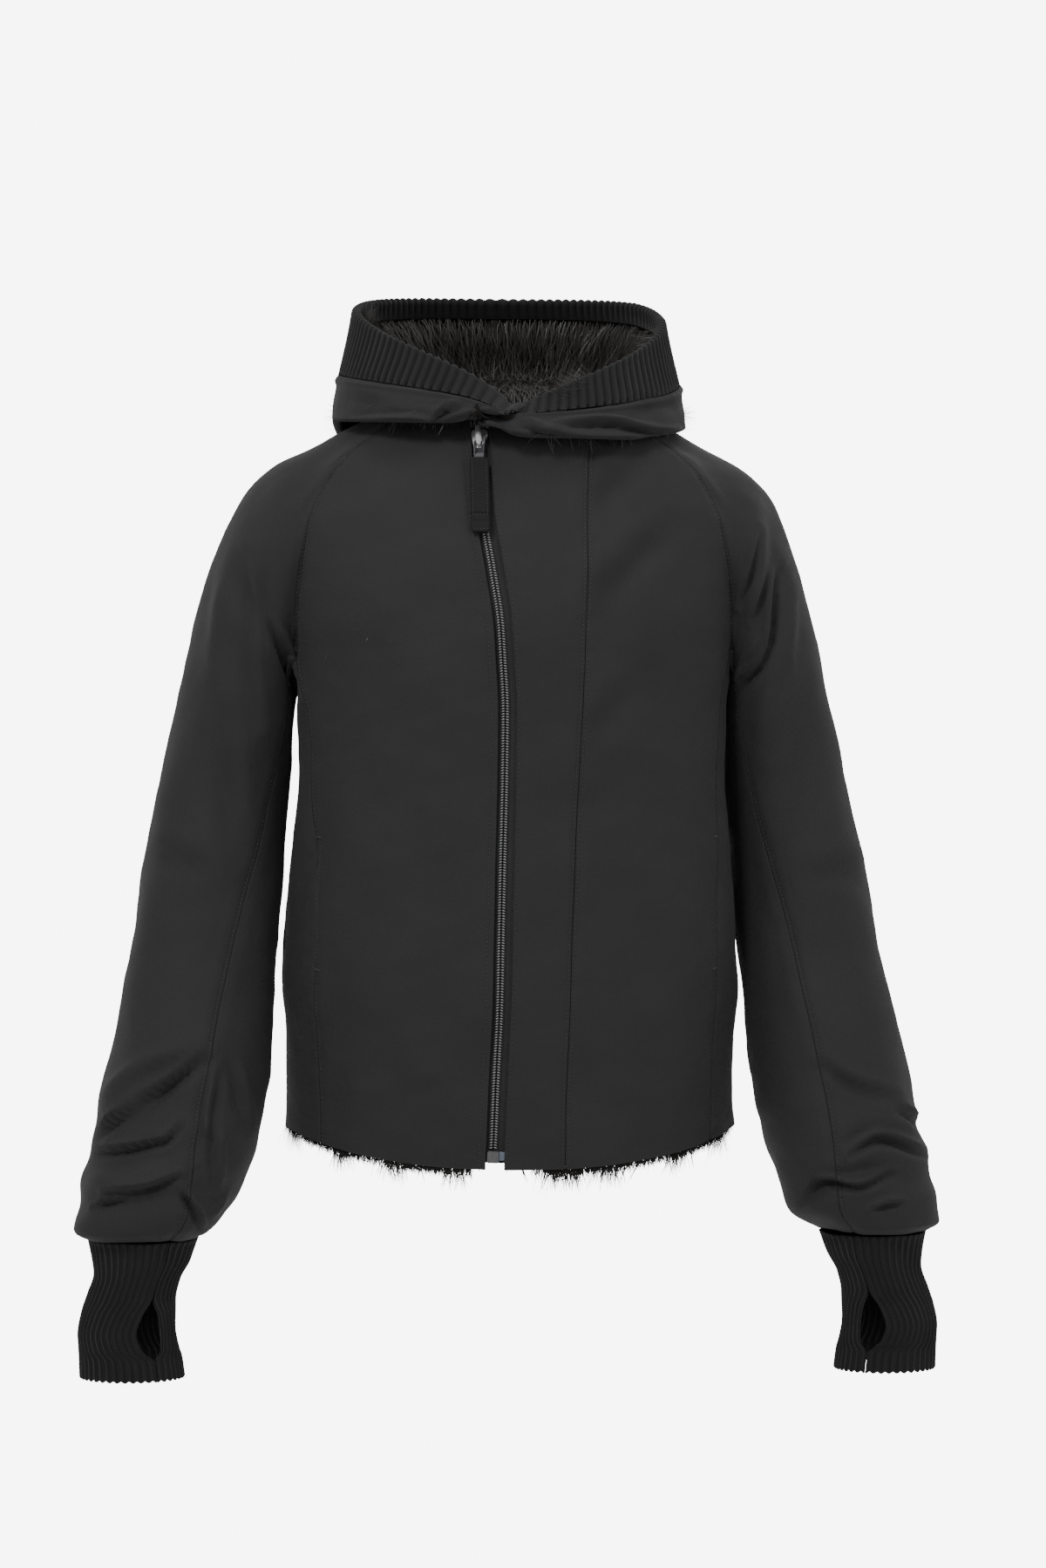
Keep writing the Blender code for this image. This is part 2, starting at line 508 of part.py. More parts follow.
def make_object(name, points, faces, material, sharp_angle=50.0):
    mesh = bpy.data.meshes.new(name)
    mesh.from_pydata([tuple(point) for point in points], [], [tuple(map(int, face)) for face in faces])
    mesh.validate()
    piece = bpy.data.objects.new(name, mesh)
    bpy.context.scene.collection.objects.link(piece)
    mesh.materials.append(material)
    mesh.shade_smooth()
    mesh.set_sharp_from_angle(angle=math.radians(sharp_angle))
    return piece


def mirrored(points, faces):
    """The same piece on the wearer's other side."""
    return points * np.array([-1.0, 1.0, 1.0]), [face[::-1] for face in faces]


# ---- the woven shell --------------------------------------------------------------------
FRONT_RIGHT_COLUMNS, PLACKET_COLUMNS, FRONT_LEFT_COLUMNS = 5, 2, 4
BACK_COLUMNS, SIDE_COLUMNS, NECK_COLUMNS = 10, 5, 3


def build_shell(fabric):
    cloth = Cloth()
    levels = body_levels()
    yoke_levels = np.linspace(UNDERARM_LEVEL, NECK_LEVEL, YOKE_ROWS + 1)
    seam = torso_column(levels, "front_seam")
    back_seam = torso_column(levels, "back_seam")
    zip_x = torso_column(levels, "zip_x")
    right_edge = angle_at(levels, zip_x - ZIP_SLOT_RIGHT)
    left_edge = angle_at(levels, zip_x + ZIP_SLOT_LEFT)
    placket = angle_at(levels, torso_column(levels, "placket_x"))
    cloth.add("front_right", front_grid(levels, -seam, right_edge, FRONT_RIGHT_COLUMNS))
    cloth.add("front_placket", front_grid(levels, left_edge, placket, PLACKET_COLUMNS))
    cloth.add("front_left", front_grid(levels, placket, seam, FRONT_LEFT_COLUMNS))
    cloth.add("back", front_grid(levels, 180.0 - back_seam, 180.0 + back_seam, BACK_COLUMNS))
    side = side_grid(SIDE_COLUMNS)
    ring = raglan_ring(yoke_levels, NECK_COLUMNS, SIDE_COLUMNS)
    sleeve = sleeve_grid(ring, SIDE_COLUMNS, np.arange(LAST_STATION + 1.0))
    split = len(ring) - SIDE_COLUMNS
    other_side = np.array([-1.0, 1.0, 1.0])
    for label, panel, tube, flip in (("left", side, drawn_in(sleeve), False),
                                     ("right", side * other_side, sleeve * other_side, True)):
        cloth.add(f"side_{label}", panel, flip)
        cloth.add(f"sleeve_{label}_upper", tube[:, :split + 1], not flip)
        cloth.add(f"sleeve_{label}_under", tube[:, split:], not flip)
    cloth.apply_folds()
    for name in cloth.panels:
        limb = name.rpartition("_")[0] if name.startswith("sleeve") else ""
        group = [other for other in cloth.panels
                 if (other.startswith(limb) if limb else not other.startswith("sleeve"))]
        points, faces = cloth.wall(name, SHELL_WALL, group=group)
        make_object(name, points, faces, fabric)


def build_body_lining(fur):
    """One lining for the body, open down the zip, at the neck and at both armholes."""
    cloth = Cloth()
    lower = np.linspace(LINING_HEM_LEVEL, UNDERARM_LEVEL, 8)
    yoke = np.linspace(UNDERARM_LEVEL, NECK_LEVEL - 0.4, 6)
    levels = np.concatenate([lower, yoke[1:]])
    seam = torso_column(levels, "front_seam")
    back_seam = torso_column(levels, "back_seam")
    zip_x = torso_column(levels, "zip_x")
    cloth.add("lining_body", front_grid(levels, -seam, angle_at(levels, zip_x - 1.5), 5))
    cloth.add("lining_body", front_grid(levels, angle_at(levels, zip_x + 1.8), seam, 5))
    cloth.add("lining_body", front_grid(levels, 180.0 - back_seam, 180.0 + back_seam, 8))
    side = side_grid(4, LINING_HEM_LEVEL, len(lower) - 1)
    cloth.add("lining_body", side)
    cloth.add("lining_body", side * np.array([-1.0, 1.0, 1.0]), flip=True)
    cloth.apply_folds()
    points, faces = cloth.wall("lining_body", LINING_WALL, SHELL_WALL + LINING_SPACE)
    make_object("lining_body", points, faces, fur)


# ---- the hood ---------------------------------------------------------------------------
def build_hood(fabric, knit, fur):
    shares = np.linspace(0.0, 1.0, HOOD_COLUMNS + 1)
    rings = np.arange(BAND_FIRST_RING + 1.0)
    shell = Cloth()
    shell.add("hood_neck", hood(rings[:HOOD_NECK_RING + 1, None], shares[None, :]))
    shell.add("hood_shell", hood(rings[HOOD_NECK_RING:, None], shares[None, :]))
    for name in shell.panels:
        points, faces = shell.wall(name, SHELL_WALL)
        make_object(name, points, faces, fabric)

    lining_shares = shares[2:-2]
    for name, lining_rings in (("neck_lining", NECK_LINING_RINGS), ("hood_lining", HOOD_LINING_RINGS)):
        below = np.floor(lining_rings)
        past = (np.array(lining_rings) - below)[:, None, None]
        grid = hood(below[:, None], lining_shares[None, :]) * (1 - past)
        grid += hood(below[:, None] + 1, lining_shares[None, :]) * past
        inset = np.interp(lining_rings, (6.0, 6.9), (0.0, BAND_INSET))
        lining = Cloth()
        lining.add(name, grid - grid_normals(grid) * inset[:, None, None])
        points, faces = lining.wall(name, LINING_WALL, SHELL_WALL + HOOD_LINING_SPACE)
        make_object(name, points, faces, fur)

    rib_columns = HOOD_COLUMNS * RIBS_PER_HOOD_COLUMN * 2
    fine = np.linspace(0.0, 1.0, rib_columns + 1)
    band_rings = np.linspace(BAND_FIRST_RING, RIM_RING, 3)
    grid = hood(band_rings[:, None], fine[None, :])
    seam_points = hood(BAND_FIRST_RING, shares)
    grid[0] = np.stack([np.interp(fine, shares, seam_points[:, k]) for k in range(3)], axis=-1)
    normals = grid_normals(grid)
    up = np.gradient(grid, axis=0)
    up /= np.linalg.norm(up, axis=2)[..., None]
    crest = (np.arange(rib_columns + 1) % 2)[None, :, None]
    outer = grid + normals * (crest - 1.0) * RIB_RISE
    inner = (grid - normals * (RIB_RISE + KNIT_WALL))[[0, -1]][:, ::2]
    outer[0] += up[0] * SEAM_GAP * 2
    inner[0] += up[0, ::2] * SEAM_GAP * 3
    points, faces = ribbed_wall(outer, inner)
    make_object("hood_band", points, faces, knit)


# ---- the cuffs --------------------------------------------------------------------------
def cuff_half(first, columns):
    """One half of the left cuff, from the slit round to the side that faces it."""
    heights = [row[0] for row in CUFF]
    sign = 1.0 if first else -1.0
    rows = []
    for z in heights:
        share = np.linspace(0.0, 1.0, columns + 1)
        _, slit, half_width = cuff_ring(z, np.zeros(1))
        opening = math.degrees((slit + SEAM_GAP / CM) / half_width)
        far_gap = math.degrees(SEAM_GAP / CM / half_width)
        angle = CUFF_SLIT_ANGLE + sign * (opening + (180.0 - opening - far_gap) * share)
        rows.append(cuff_ring(z, angle)[0])
    return np.array(rows)


def build_cuffs(knit):
    columns = CUFF_RIBS
    for first, part in ((True, "outer"), (False, "inner")):
        grid = cuff_half(first, columns)
        normals = grid_normals(grid) * (-1.0 if first else 1.0)
        crest = (np.arange(columns + 1) % 2)[None, :, None]
        outer = grid + normals * (crest - 1.0) * RIB_RISE
        inner = (grid - normals * (RIB_RISE + KNIT_WALL))[::2, ::2]
        points, faces = ribbed_wall(outer, inner, flip=first)
        make_object(f"cuff_left_{part}", drawn_in(points), faces, knit)
        points, faces = mirrored(points, faces)
        make_object(f"cuff_right_{part}", points, faces, knit)


# ---- the zip ----------------------------------------------------------------------------
TAPE_DEPTH, TAPE_WALL = 3.3 * MM, 0.8 * MM
CHAIN_HALF, CHAIN_WALL = 0.37, 2.6 * MM
ZIP_TOP_LEVEL, SLIDER_TOP_LEVEL, CHAIN_TOP_LEVEL = 61.2, 59.9, 55.2
BOX_TOP_LEVEL, ZIP_FOOT_LEVEL = 1.6, 0.5


def zip_strip(levels, left_x, right_x, depth, thickness):
    """A strip that follows the zip's line, sunk below the shell's surface by depth."""
    middle = torso_column(levels, "zip_x")
    strip = Cloth()
    strip.add("strip", front_grid(levels, angle_at(levels, middle + left_x),
                                  angle_at(levels, middle + right_x), 1))
    return strip.wall("strip", thickness, depth)


def zip_frame(level, lift):
    """A place on the zip's line, lifted off the shell, with its across, down and out directions."""
    near = np.array([level - 0.5, level, level + 0.5])
    angles = angle_at(near, torso_column(near, "zip_x"))
    line = torso(near, angles)
    beside = torso(near[1], angles[1] + np.array([-1.0, 1.0]))
    down = line[0] - line[2]
    across = beside[1] - beside[0]
    down /= np.linalg.norm(down)
    out = np.cross(down, across)
    out /= -np.linalg.norm(out)
    across = np.cross(out, down)
    if out[1] > 0:
        out, across = -out, -across
    return line[1] + out * lift, across, down, out


def block(name, frame, size, material, bevel=0.4 * MM, taper=1.0):
    """A block with rounded edges; size is across, down and out, from the frame's place."""
    place, across, down, out = frame
    width, length, height = size
    corners = []
    for k in (0.0, height):
        for side, along, scale in ((-1, 0, 1.0), (1, 0, 1.0), (1, 1, taper), (-1, 1, taper)):
            corners.append(place + across * side * width / 2 * scale + down * along * length + out * k)
    mesh = bmesh.new()
    vertices = [mesh.verts.new(corner) for corner in corners]
    for face in ((3, 2, 1, 0), (4, 5, 6, 7), (0, 1, 5, 4), (1, 2, 6, 5), (2, 3, 7, 6), (3, 0, 4, 7)):
        mesh.faces.new([vertices[k] for k in face])
    bmesh.ops.recalc_face_normals(mesh, faces=mesh.faces)
    if bevel:
        bmesh.ops.bevel(mesh, geom=mesh.edges[:], offset=bevel, segments=1, affect="EDGES")
    data = bpy.data.meshes.new(name)
    mesh.to_mesh(data)
    mesh.free()
    data.materials.append(material)
    piece = bpy.data.objects.new(name, data)
    bpy.context.scene.collection.objects.link(piece)
    return piece


def build_zip(tape, metal):
    levels = body_levels()
    levels = levels[levels < ZIP_TOP_LEVEL]
    levels = np.concatenate([[ZIP_FOOT_LEVEL], levels[1:], [ZIP_TOP_LEVEL]])
    gap = SEAM_GAP / CM / 2
    for name, left, right in (("zip_tape_right", -1.2, -gap), ("zip_tape_left", gap, 1.4)):
        points, faces = zip_strip(levels, left, right, TAPE_DEPTH, TAPE_WALL)
        make_object(name, points, faces, tape)
    chain_levels = np.concatenate([[BOX_TOP_LEVEL], levels[1:-1]])
    chain_levels = np.append(chain_levels[chain_levels < CHAIN_TOP_LEVEL - 0.5], CHAIN_TOP_LEVEL)
    points, faces = zip_strip(chain_levels, -CHAIN_HALF, CHAIN_HALF, TAPE_DEPTH - SEAM_GAP - CHAIN_WALL,
                              CHAIN_WALL)
    make_object("zip_chain", points, faces, tape)
    frame = zip_frame(BOX_TOP_LEVEL - 0.1, -TAPE_DEPTH + SEAM_GAP)
    block("zip_box", frame, (9 * MM, 10 * MM, 4 * MM), metal)


def build_slider(metal):
    """The slider with its raised bar; gives the place of the puller's pivot under the bar."""
    frame = zip_frame(SLIDER_TOP_LEVEL, -TAPE_DEPTH + SEAM_GAP + 0.3 * MM)
    place, across, down, out = frame
    slider = block("zip_slider", frame, (10 * MM, 20 * MM, 6.2 * MM), metal, 0.8 * MM, 0.86)
    top = 6.2 * MM
    for part, start, length, low, high in (("leg_top", 2 * MM, 2.5 * MM, top - 1 * MM, top + 5.0 * MM),
                                           ("leg_foot", 16 * MM, 2.5 * MM, top - 1 * MM, top + 5.0 * MM),
                                           ("bar", 2 * MM, 16.5 * MM, top + 3.4 * MM, top + 5.0 * MM)):
        frame_here = (place + down * start + out * low, across, down, out)
        cutter = block(f"slider_{part}", frame_here, (2.6 * MM, length, high - low), metal, 0.0)
        cutter.hide_render = True
        cutter.display_type = "WIRE"
        join = slider.modifiers.new(part, "BOOLEAN")
        join.operation, join.object, join.solver = "UNION", cutter, "EXACT"
    return place + down * 14.2 * MM + out * (top + 2.4 * MM)


PULLER_WALL = 1.2 * MM
PULLER_WIDTH, PULLER_LENGTH = 8.0 * MM, 14.0 * MM
EYE_WIDTH, EYE_TOP, EYE_BOTTOM = 4.4 * MM, 0.6 * MM, 5.6 * MM
TAB_WIDTH, TAB_LENGTH, TAB_WALL = 15.0 * MM, 62.0 * MM, 2.6 * MM
TAB_END_LENGTH, TAB_END_WALL = 15.0 * MM, 4.2 * MM
TAB_LEAN = 17.2                # the tab's slope off the vertical, on the chest


def plate_with_eye(pivot, across, down, out):
    """The puller: a plate whose eye goes round the slider's bar, with its top rod on the pivot."""
    rows = [-EYE_TOP, EYE_TOP, EYE_BOTTOM, PULLER_LENGTH]
    columns = [-PULLER_WIDTH / 2, -EYE_WIDTH / 2, EYE_WIDTH / 2, PULLER_WIDTH / 2]
    points = [pivot + across * x + down * y + out * k * PULLER_WALL / 2
              for k in (1, -1) for y in rows for x in columns]
    quads = []

    def spot(layer, row, column):
        return layer * 16 + row * 4 + column

    solid = [(row, column) for row in range(3) for column in range(3) if (row, column) != (1, 1)]
    for row, column in solid:
        ring = [(row, column), (row, column + 1), (row + 1, column + 1), (row + 1, column)]
        quads.append([spot(0, *corner) for corner in ring[::-1]])
        quads.append([spot(1, *corner) for corner in ring])
        for k, beside in enumerate(((row - 1, column), (row, column + 1),
                                    (row + 1, column), (row, column - 1))):
            if beside not in solid:
                a, b = ring[k], ring[(k + 1) % 4]
                quads.append([spot(0, *a), spot(0, *b), spot(1, *b), spot(1, *a)])
    return points, quads


def build_pull(pivot, dark, webbing):
    """Puller and tab hang from the pivot and lean on the chest."""
    axis = np.array([1.0, 0.0, 0.0])
    lean = math.radians(TAB_LEAN)
    down = np.array([0.0, -math.sin(lean), -math.cos(lean)])
    out = np.array([0.0, -math.cos(lean), math.sin(lean)])
    holder = bpy.data.objects.new("pull_pivot", None)
    bpy.context.scene.collection.objects.link(holder)
    holder.location = pivot
    zero = np.zeros(3)
    points, quads = plate_with_eye(zero, axis, down, out)
    puller = make_object("zip_puller", points, quads, dark, 30.0)
    tab_frame = (down * (PULLER_LENGTH + SEAM_GAP) - out * TAB_WALL / 2, axis, down, out)
    tab = block("pull_tab", tab_frame, (TAB_WIDTH, TAB_LENGTH - TAB_END_LENGTH, TAB_WALL), webbing,
                0.6 * MM)
    end_start = down * (PULLER_LENGTH + 2 * SEAM_GAP + TAB_LENGTH - TAB_END_LENGTH)
    end_frame = (end_start - out * TAB_END_WALL / 2, axis, down, out)
    end = block("pull_tab_end", end_frame, (TAB_WIDTH, TAB_END_LENGTH, TAB_END_WALL), webbing, 0.9 * MM)
    for piece in (puller, tab, end):
        piece.parent = holder


def main():
    for old in list(bpy.data.objects):
        bpy.data.objects.remove(old, do_unlink=True)
    fabric = make_material("woven shell", CHARCOAL, 0.85)
    knit = make_material("rib knit", KNIT_BLACK, 0.95)
    fur = make_material("fur", FUR_BLACK, 0.6)
    tape = make_material("zip tape", ZIP_BLACK, 0.6)
    metal = make_material("zip metal", SILVER, 0.3, 1.0)
    dark = make_material("dark metal", DARK_METAL, 0.4, 1.0)
    webbing = make_material("tab webbing", ZIP_BLACK, 0.7)
    build_shell(fabric)
    build_body_lining(fur)
    build_hood(fabric, knit, fur)
    build_cuffs(knit)
    build_zip(tape, metal)
    build_pull(build_slider(metal), dark, webbing)
    bpy.context.view_layer.update()


main()
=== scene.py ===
# Hooded zip jacket with a fur lining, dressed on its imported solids.
# Metres, +Z up; the wearer faces -Y. Tables are in centimetres and degrees.
import math
import bpy
import bmesh
import numpy as np
from mathutils.kdtree import KDTree
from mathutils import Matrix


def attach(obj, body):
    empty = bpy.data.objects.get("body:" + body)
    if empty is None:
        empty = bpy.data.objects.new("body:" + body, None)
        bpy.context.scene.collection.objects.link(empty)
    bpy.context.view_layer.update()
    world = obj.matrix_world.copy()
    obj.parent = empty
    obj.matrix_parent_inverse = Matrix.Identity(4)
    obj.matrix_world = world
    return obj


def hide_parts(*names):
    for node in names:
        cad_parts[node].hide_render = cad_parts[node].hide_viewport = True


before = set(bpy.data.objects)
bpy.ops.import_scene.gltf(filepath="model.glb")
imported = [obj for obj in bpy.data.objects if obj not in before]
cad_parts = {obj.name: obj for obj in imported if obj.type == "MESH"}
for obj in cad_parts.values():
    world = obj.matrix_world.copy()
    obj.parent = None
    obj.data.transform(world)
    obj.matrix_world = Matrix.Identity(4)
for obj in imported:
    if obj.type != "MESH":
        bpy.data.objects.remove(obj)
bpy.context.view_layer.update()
cm, mm = 0.01, 0.001
garment, pull = "garment", "zip_pull"
mirror = np.array([-1.0, 1.0, 1.0])
print("frame loaded")


def placeInScene(name, data):
    made = bpy.data.objects.new(name, data)
    bpy.context.scene.collection.objects.link(made)
    return made


# ---- camera, light and floor
viewTurn = math.radians(4.5)
photoView = {"distance": 2.9, "height": -0.285, "across": 0.0114, "film": 36.0, "lens": 36 * 290 / 128.5}
stage = {"floorZ": -1.1, "floorReach": 5.6, "cove": 1.2, "wallTop": 7.0, "around": 64, "floorTone": 0.26,
         "seenGlow": 6.8, "ownGlow": 0.48, "air": 0.42, "aim": (0.0, 0.0, -0.3)}
lamps = {  # place, size, power
    "keyBox": ((-1.2, -2.2, 1.9), 0.7, 46), "fillBox": ((2.2, -2.2, 0.6), 1.2, 13),
    "topBox": ((0.3, -0.5, 2.3), 1.0, 12), "backBox": ((0.4, 2.0, 0.7), 1.5, 8)}


def makeStage():
    camera = placeInScene("photoCamera", bpy.data.cameras.new("photoCamera"))
    forward = np.array([math.sin(viewTurn), math.cos(viewTurn), 0.0])
    right = np.array([math.cos(viewTurn), -math.sin(viewTurn), 0.0])
    camera.location = right * photoView["across"] - forward * photoView["distance"]
    camera.location.z = photoView["height"]
    camera.rotation_euler = (math.pi / 2, 0.0, -viewTurn)
    camera.data.sensor_fit, camera.data.sensor_height = "VERTICAL", photoView["film"]
    camera.data.lens = photoView["lens"]
    bpy.context.scene.camera = camera

    # a round bowl: flat floor, cove, wall
    reach, cove, around = stage["floorReach"], stage["cove"], stage["around"]
    profile = [(0.05, stage["floorZ"])]
    profile += [(reach + cove * math.sin(a), stage["floorZ"] + cove * (1 - math.cos(a)))
                for a in np.linspace(0.0, math.pi / 2, 10)]
    profile.append((reach + cove, stage["wallTop"]))
    points = [(r * math.cos(a), r * math.sin(a), z) for r, z in profile
              for a in np.arange(around) * 2 * math.pi / around]
    faces = [(around * i + j, around * i + (j + 1) % around,
              around * (i + 1) + (j + 1) % around, around * (i + 1) + j)
             for i in range(len(profile) - 1) for j in range(around)] + [tuple(range(around))]
    mesh = bpy.data.meshes.new("studioFloor")
    mesh.from_pydata(points, [], faces)
    mesh.shade_smooth()
    floor = placeInScene("studioFloor", mesh)
    paint = bpy.data.materials.new("paleFloor")
    paint.use_nodes = True
    shader = paint.node_tree.nodes["Principled BSDF"]
    shader.inputs["Base Color"].default_value = (*[stage["floorTone"]] * 3, 1)
    shader.inputs["Roughness"].default_value = 0.9
    shader.inputs["Emission Color"].default_value = (1, 1, 1, 1)
    rays = paint.node_tree.nodes.new("ShaderNodeLightPath")
    glow = paint.node_tree.nodes.new("ShaderNodeMath")
    glow.operation = "MULTIPLY_ADD"
    glow.inputs[1].default_value, glow.inputs[2].default_value = stage["seenGlow"], stage["ownGlow"]
    paint.node_tree.links.new(rays.outputs["Is Camera Ray"], glow.inputs[0])
    paint.node_tree.links.new(glow.outputs[0], shader.inputs["Emission Strength"])
    mesh.materials.append(paint)

    world = bpy.data.worlds.new("studioAir")
    bpy.context.scene.world = world
    world.use_nodes = True
    air = world.node_tree.nodes["Background"].inputs
    air["Color"].default_value, air["Strength"].default_value = (1, 1, 1, 1), stage["air"]
    for name, (place, size, power) in lamps.items():
        light = bpy.data.lights.new(name, "AREA")
        light.size, light.energy = size, power
        lamp = placeInScene(name, light)
        lamp.location = place
        aim = np.array(stage["aim"]) - np.array(place)
        lamp.rotation_euler = (math.acos(-aim[2] / np.linalg.norm(aim)), 0.0,
                               math.atan2(aim[1], aim[0]) - math.pi / 2)


makeStage()
print("camera and light set")

# ---- the jacket's own form, with the same sizes as its solids
cloth = {"wall": 2.2 * mm, "underarm": 38.5, "neck": 62.0, "underarmDip": 1.6,
         "ringPower": 2.0 / 2.35, "sleevePower": 2.0 / 2.15, "pinchReach": 5.0,
         "slotRight": 0.55, "slotLeft": 0.9, "rowStep": 0.43, "columnStep": 4.2 * mm}
bodyColumns = ("halfWidth", "pinch", "sideZ", "frontY", "frontMid", "frontZ", "frontSeam",
               "backY", "backMid", "backZ", "backSeam", "zipX", "placketX")
bodyRings = [
    # level, half width, pinch, side z, front y, mid, z, seam, back y, mid, z, seam, zip x, placket x
    (-1.2, 18.30, 0.0, -57.40, -13.40, 0.0, -59.95, 56.0, 12.3, 0.0, -58.5, 54.0, -2.30, 3.40),
    (0.0, 18.35, 0.0, -56.20, -13.50, 0.0, -58.70, 56.0, 12.4, 0.0, -57.3, 54.0, -2.30, 3.40),
    (3.0, 18.20, 0.0, -53.30, -13.70, 0.0, -55.60, 57.0, 12.3, 0.0, -54.2, 54.5, -2.20, 3.42),
    (7.0, 18.25, 0.0, -49.30, -13.80, 0.0, -51.30, 57.5, 12.0, 0.0, -50.0, 55.0, -2.03, 3.55),
    (12.0, 18.70, 0.1, -44.30, -13.80, 0.0, -46.00, 57.0, 11.6, 0.0, -45.0, 55.0, -1.76, 3.78),
    (17.0, 18.60, 0.3, -39.30, -13.60, 0.0, -40.80, 58.2, 11.3, 0.0, -40.0, 56.0, -1.64, 3.97),
    (23.0, 18.25, 0.8, -33.30, -13.40, 0.0, -34.60, 61.0, 11.2, 0.0, -34.0, 58.0, -1.50, 4.22),
    (29.0, 17.90, 1.2, -27.30, -13.20, 0.0, -28.20, 63.6, 11.4, 0.0, -27.8, 60.0, -1.33, 4.52),
    (34.0, 18.00, 1.4, -22.20, -13.20, 0.0, -22.80, 65.5, 11.6, 0.0, -22.6, 63.0, -1.27, 4.80),
    (38.5, 18.50, 1.7, -17.63, -13.20, 0.0, -18.20, 69.5, 11.8, 0.0, -18.2, 67.5, -1.50, 5.02),
    (40.6, 18.66, 1.7, -15.57, -13.10, -1.1, -15.80, 68.0, 11.9, 1.2, -15.8, 67.1, -1.65, 5.10),
    (44.4, 19.18, 1.0, -11.86, -12.60, -1.6, -11.60, 62.0, 11.8, 1.5, -11.6, 60.2, -2.25, 5.25),
    (48.4, 19.42, 0.5, -8.04, -11.60, -1.9, -7.60, 56.0, 11.3, 2.4, -7.3, 52.8, -2.85, 5.35),
    (52.7, 17.76, 0.0, -3.82, -10.50, -0.9, -4.10, 54.0, 10.4, 4.2, -3.2, 48.0, -3.05, 5.50),
    (57.6, 13.47, 0.0, 0.00, -9.50, -0.7, -1.60, 54.0, 8.8, 4.1, 1.0, 44.8, -3.12, 5.70),
    (62.0, 8.80, 0.0, 2.70, -8.50, 0.0, 0.20, 57.4, 6.0, 0.0, 4.5, 39.6, -3.20, 5.85),
]

sleeveRings = [
    # station, inner x, z, outer x, z, mid y, half depth, front seam, back seam, settle
    (0, 16.80, -19.30, 8.80, 2.70, 0.2, 8.1, 38.0, 38.0, 1.00),
    (1, 17.00, -19.90, 12.60, 0.85, 0.4, 8.1, 36.0, 38.0, 0.74),
    (2, 17.20, -20.70, 16.00, -0.95, 0.6, 8.1, 35.0, 38.0, 0.50),
    (3, 17.40, -21.70, 19.30, -2.65, 0.8, 8.1, 34.0, 39.0, 0.28),
    (4, 17.55, -23.00, 21.60, -4.80, 1.0, 8.0, 35.0, 40.0, 0.12),
    (5, 17.70, -24.80, 23.20, -7.80, 1.2, 7.9, 37.0, 42.0, 0.03),
    (6, 17.85, -27.00, 24.70, -11.80, 1.4, 7.7, 40.0, 45.0, 0.00),
    (7, 18.05, -29.80, 26.10, -16.60, 1.5, 7.4, 45.0, 49.0, 0.00),
    (8, 18.30, -33.00, 27.25, -22.00, 1.4, 7.1, 52.0, 54.0, 0.00),
    (9, 18.55, -36.60, 28.50, -28.00, 0.9, 6.9, 59.0, 59.0, 0.00),
    (10, 18.80, -40.40, 29.70, -34.50, 0.1, 6.8, 66.0, 64.0, 0.00),
    (11, 19.10, -44.20, 30.75, -40.60, -1.1, 6.7, 71.0, 68.0, 0.00),
    (12, 19.35, -48.00, 31.60, -45.40, -2.3, 6.6, 75.0, 70.0, 0.00),
    (13, 19.60, -51.40, 32.35, -49.40, -3.2, 6.6, 77.0, 72.0, 0.00),
    (14, 20.00, -54.40, 33.05, -52.80, -3.9, 6.5, 78.0, 72.0, 0.00),
    (15, 20.50, -57.00, 33.55, -55.60, -4.4, 6.5, 77.0, 70.0, 0.00),
    (16, 21.10, -59.20, 34.05, -58.20, -4.8, 6.4, 74.0, 67.0, 0.00),
    (17, 21.80, -61.00, 34.50, -60.40, -5.1, 6.2, 70.0, 64.0, 0.00),
    (18, 22.60, -62.50, 34.95, -62.30, -5.3, 6.0, 66.0, 62.0, 0.00),
    (19, 23.90, -63.80, 35.10, -63.80, -5.4, 5.6, 63.0, 60.0, 0.00),
    (20, 25.20, -64.60, 34.10, -64.60, -5.5, 4.3, 62.0, 60.0, 0.00),
]

cuffRings = [
    # z, middle x, y, half width, half depth, slit
    (-64.66, 29.65, -5.5, 4.40, 4.25, 0.00),
    (-66.40, 29.80, -5.6, 3.95, 3.75, 0.00),
    (-67.90, 30.20, -5.8, 3.50, 3.45, 0.00),
    (-69.00, 30.55, -5.9, 3.55, 3.40, 0.03),
    (-70.40, 30.80, -6.1, 3.75, 3.35, 0.75),
    (-71.90, 30.95, -6.2, 3.90, 3.35, 1.15),
    (-73.20, 30.80, -6.2, 4.00, 3.35, 0.85),
    (-74.00, 30.65, -6.2, 4.10, 3.40, 0.03),
    (-75.65, 30.50, -6.2, 4.20, 3.45, 0.03),
]

hoodRings = [
    # ring, half width, front y, back y, front z, side z, back z, sag left, rise, end x
    (0, 8.80, -8.50, 6.0, 0.35, 2.80, 4.62, 0.00, 2.00, -3.20),
    (1, 10.70, -9.30, 10.4, 0.30, 2.60, 2.20, 0.00, 1.30, -3.20),
    (2, 12.70, -10.10, 13.6, 0.10, 2.00, -4.60, 0.15, 1.40, -3.10),
    (3, 13.90, -10.80, 15.9, -0.05, 1.05, -10.80, 0.50, 1.60, -3.00),
    (4, 14.45, -11.40, 18.3, 0.20, 1.40, -10.60, 0.75, 1.70, -2.80),
    (5, 14.40, -11.50, 19.4, 0.75, 2.50, -4.60, 0.80, 1.50, -2.40),
    (6, 14.20, -11.10, 18.7, 1.20, 3.70, 2.60, 0.75, 1.10, -1.90),
    (7, 14.00, -10.50, 16.8, 1.60, 4.90, 8.30, 0.65, 0.85, -1.30),
    (8, 12.35, -9.10, 12.6, 2.30, 10.20, 12.80, 0.40, 0.75, -0.50),
]

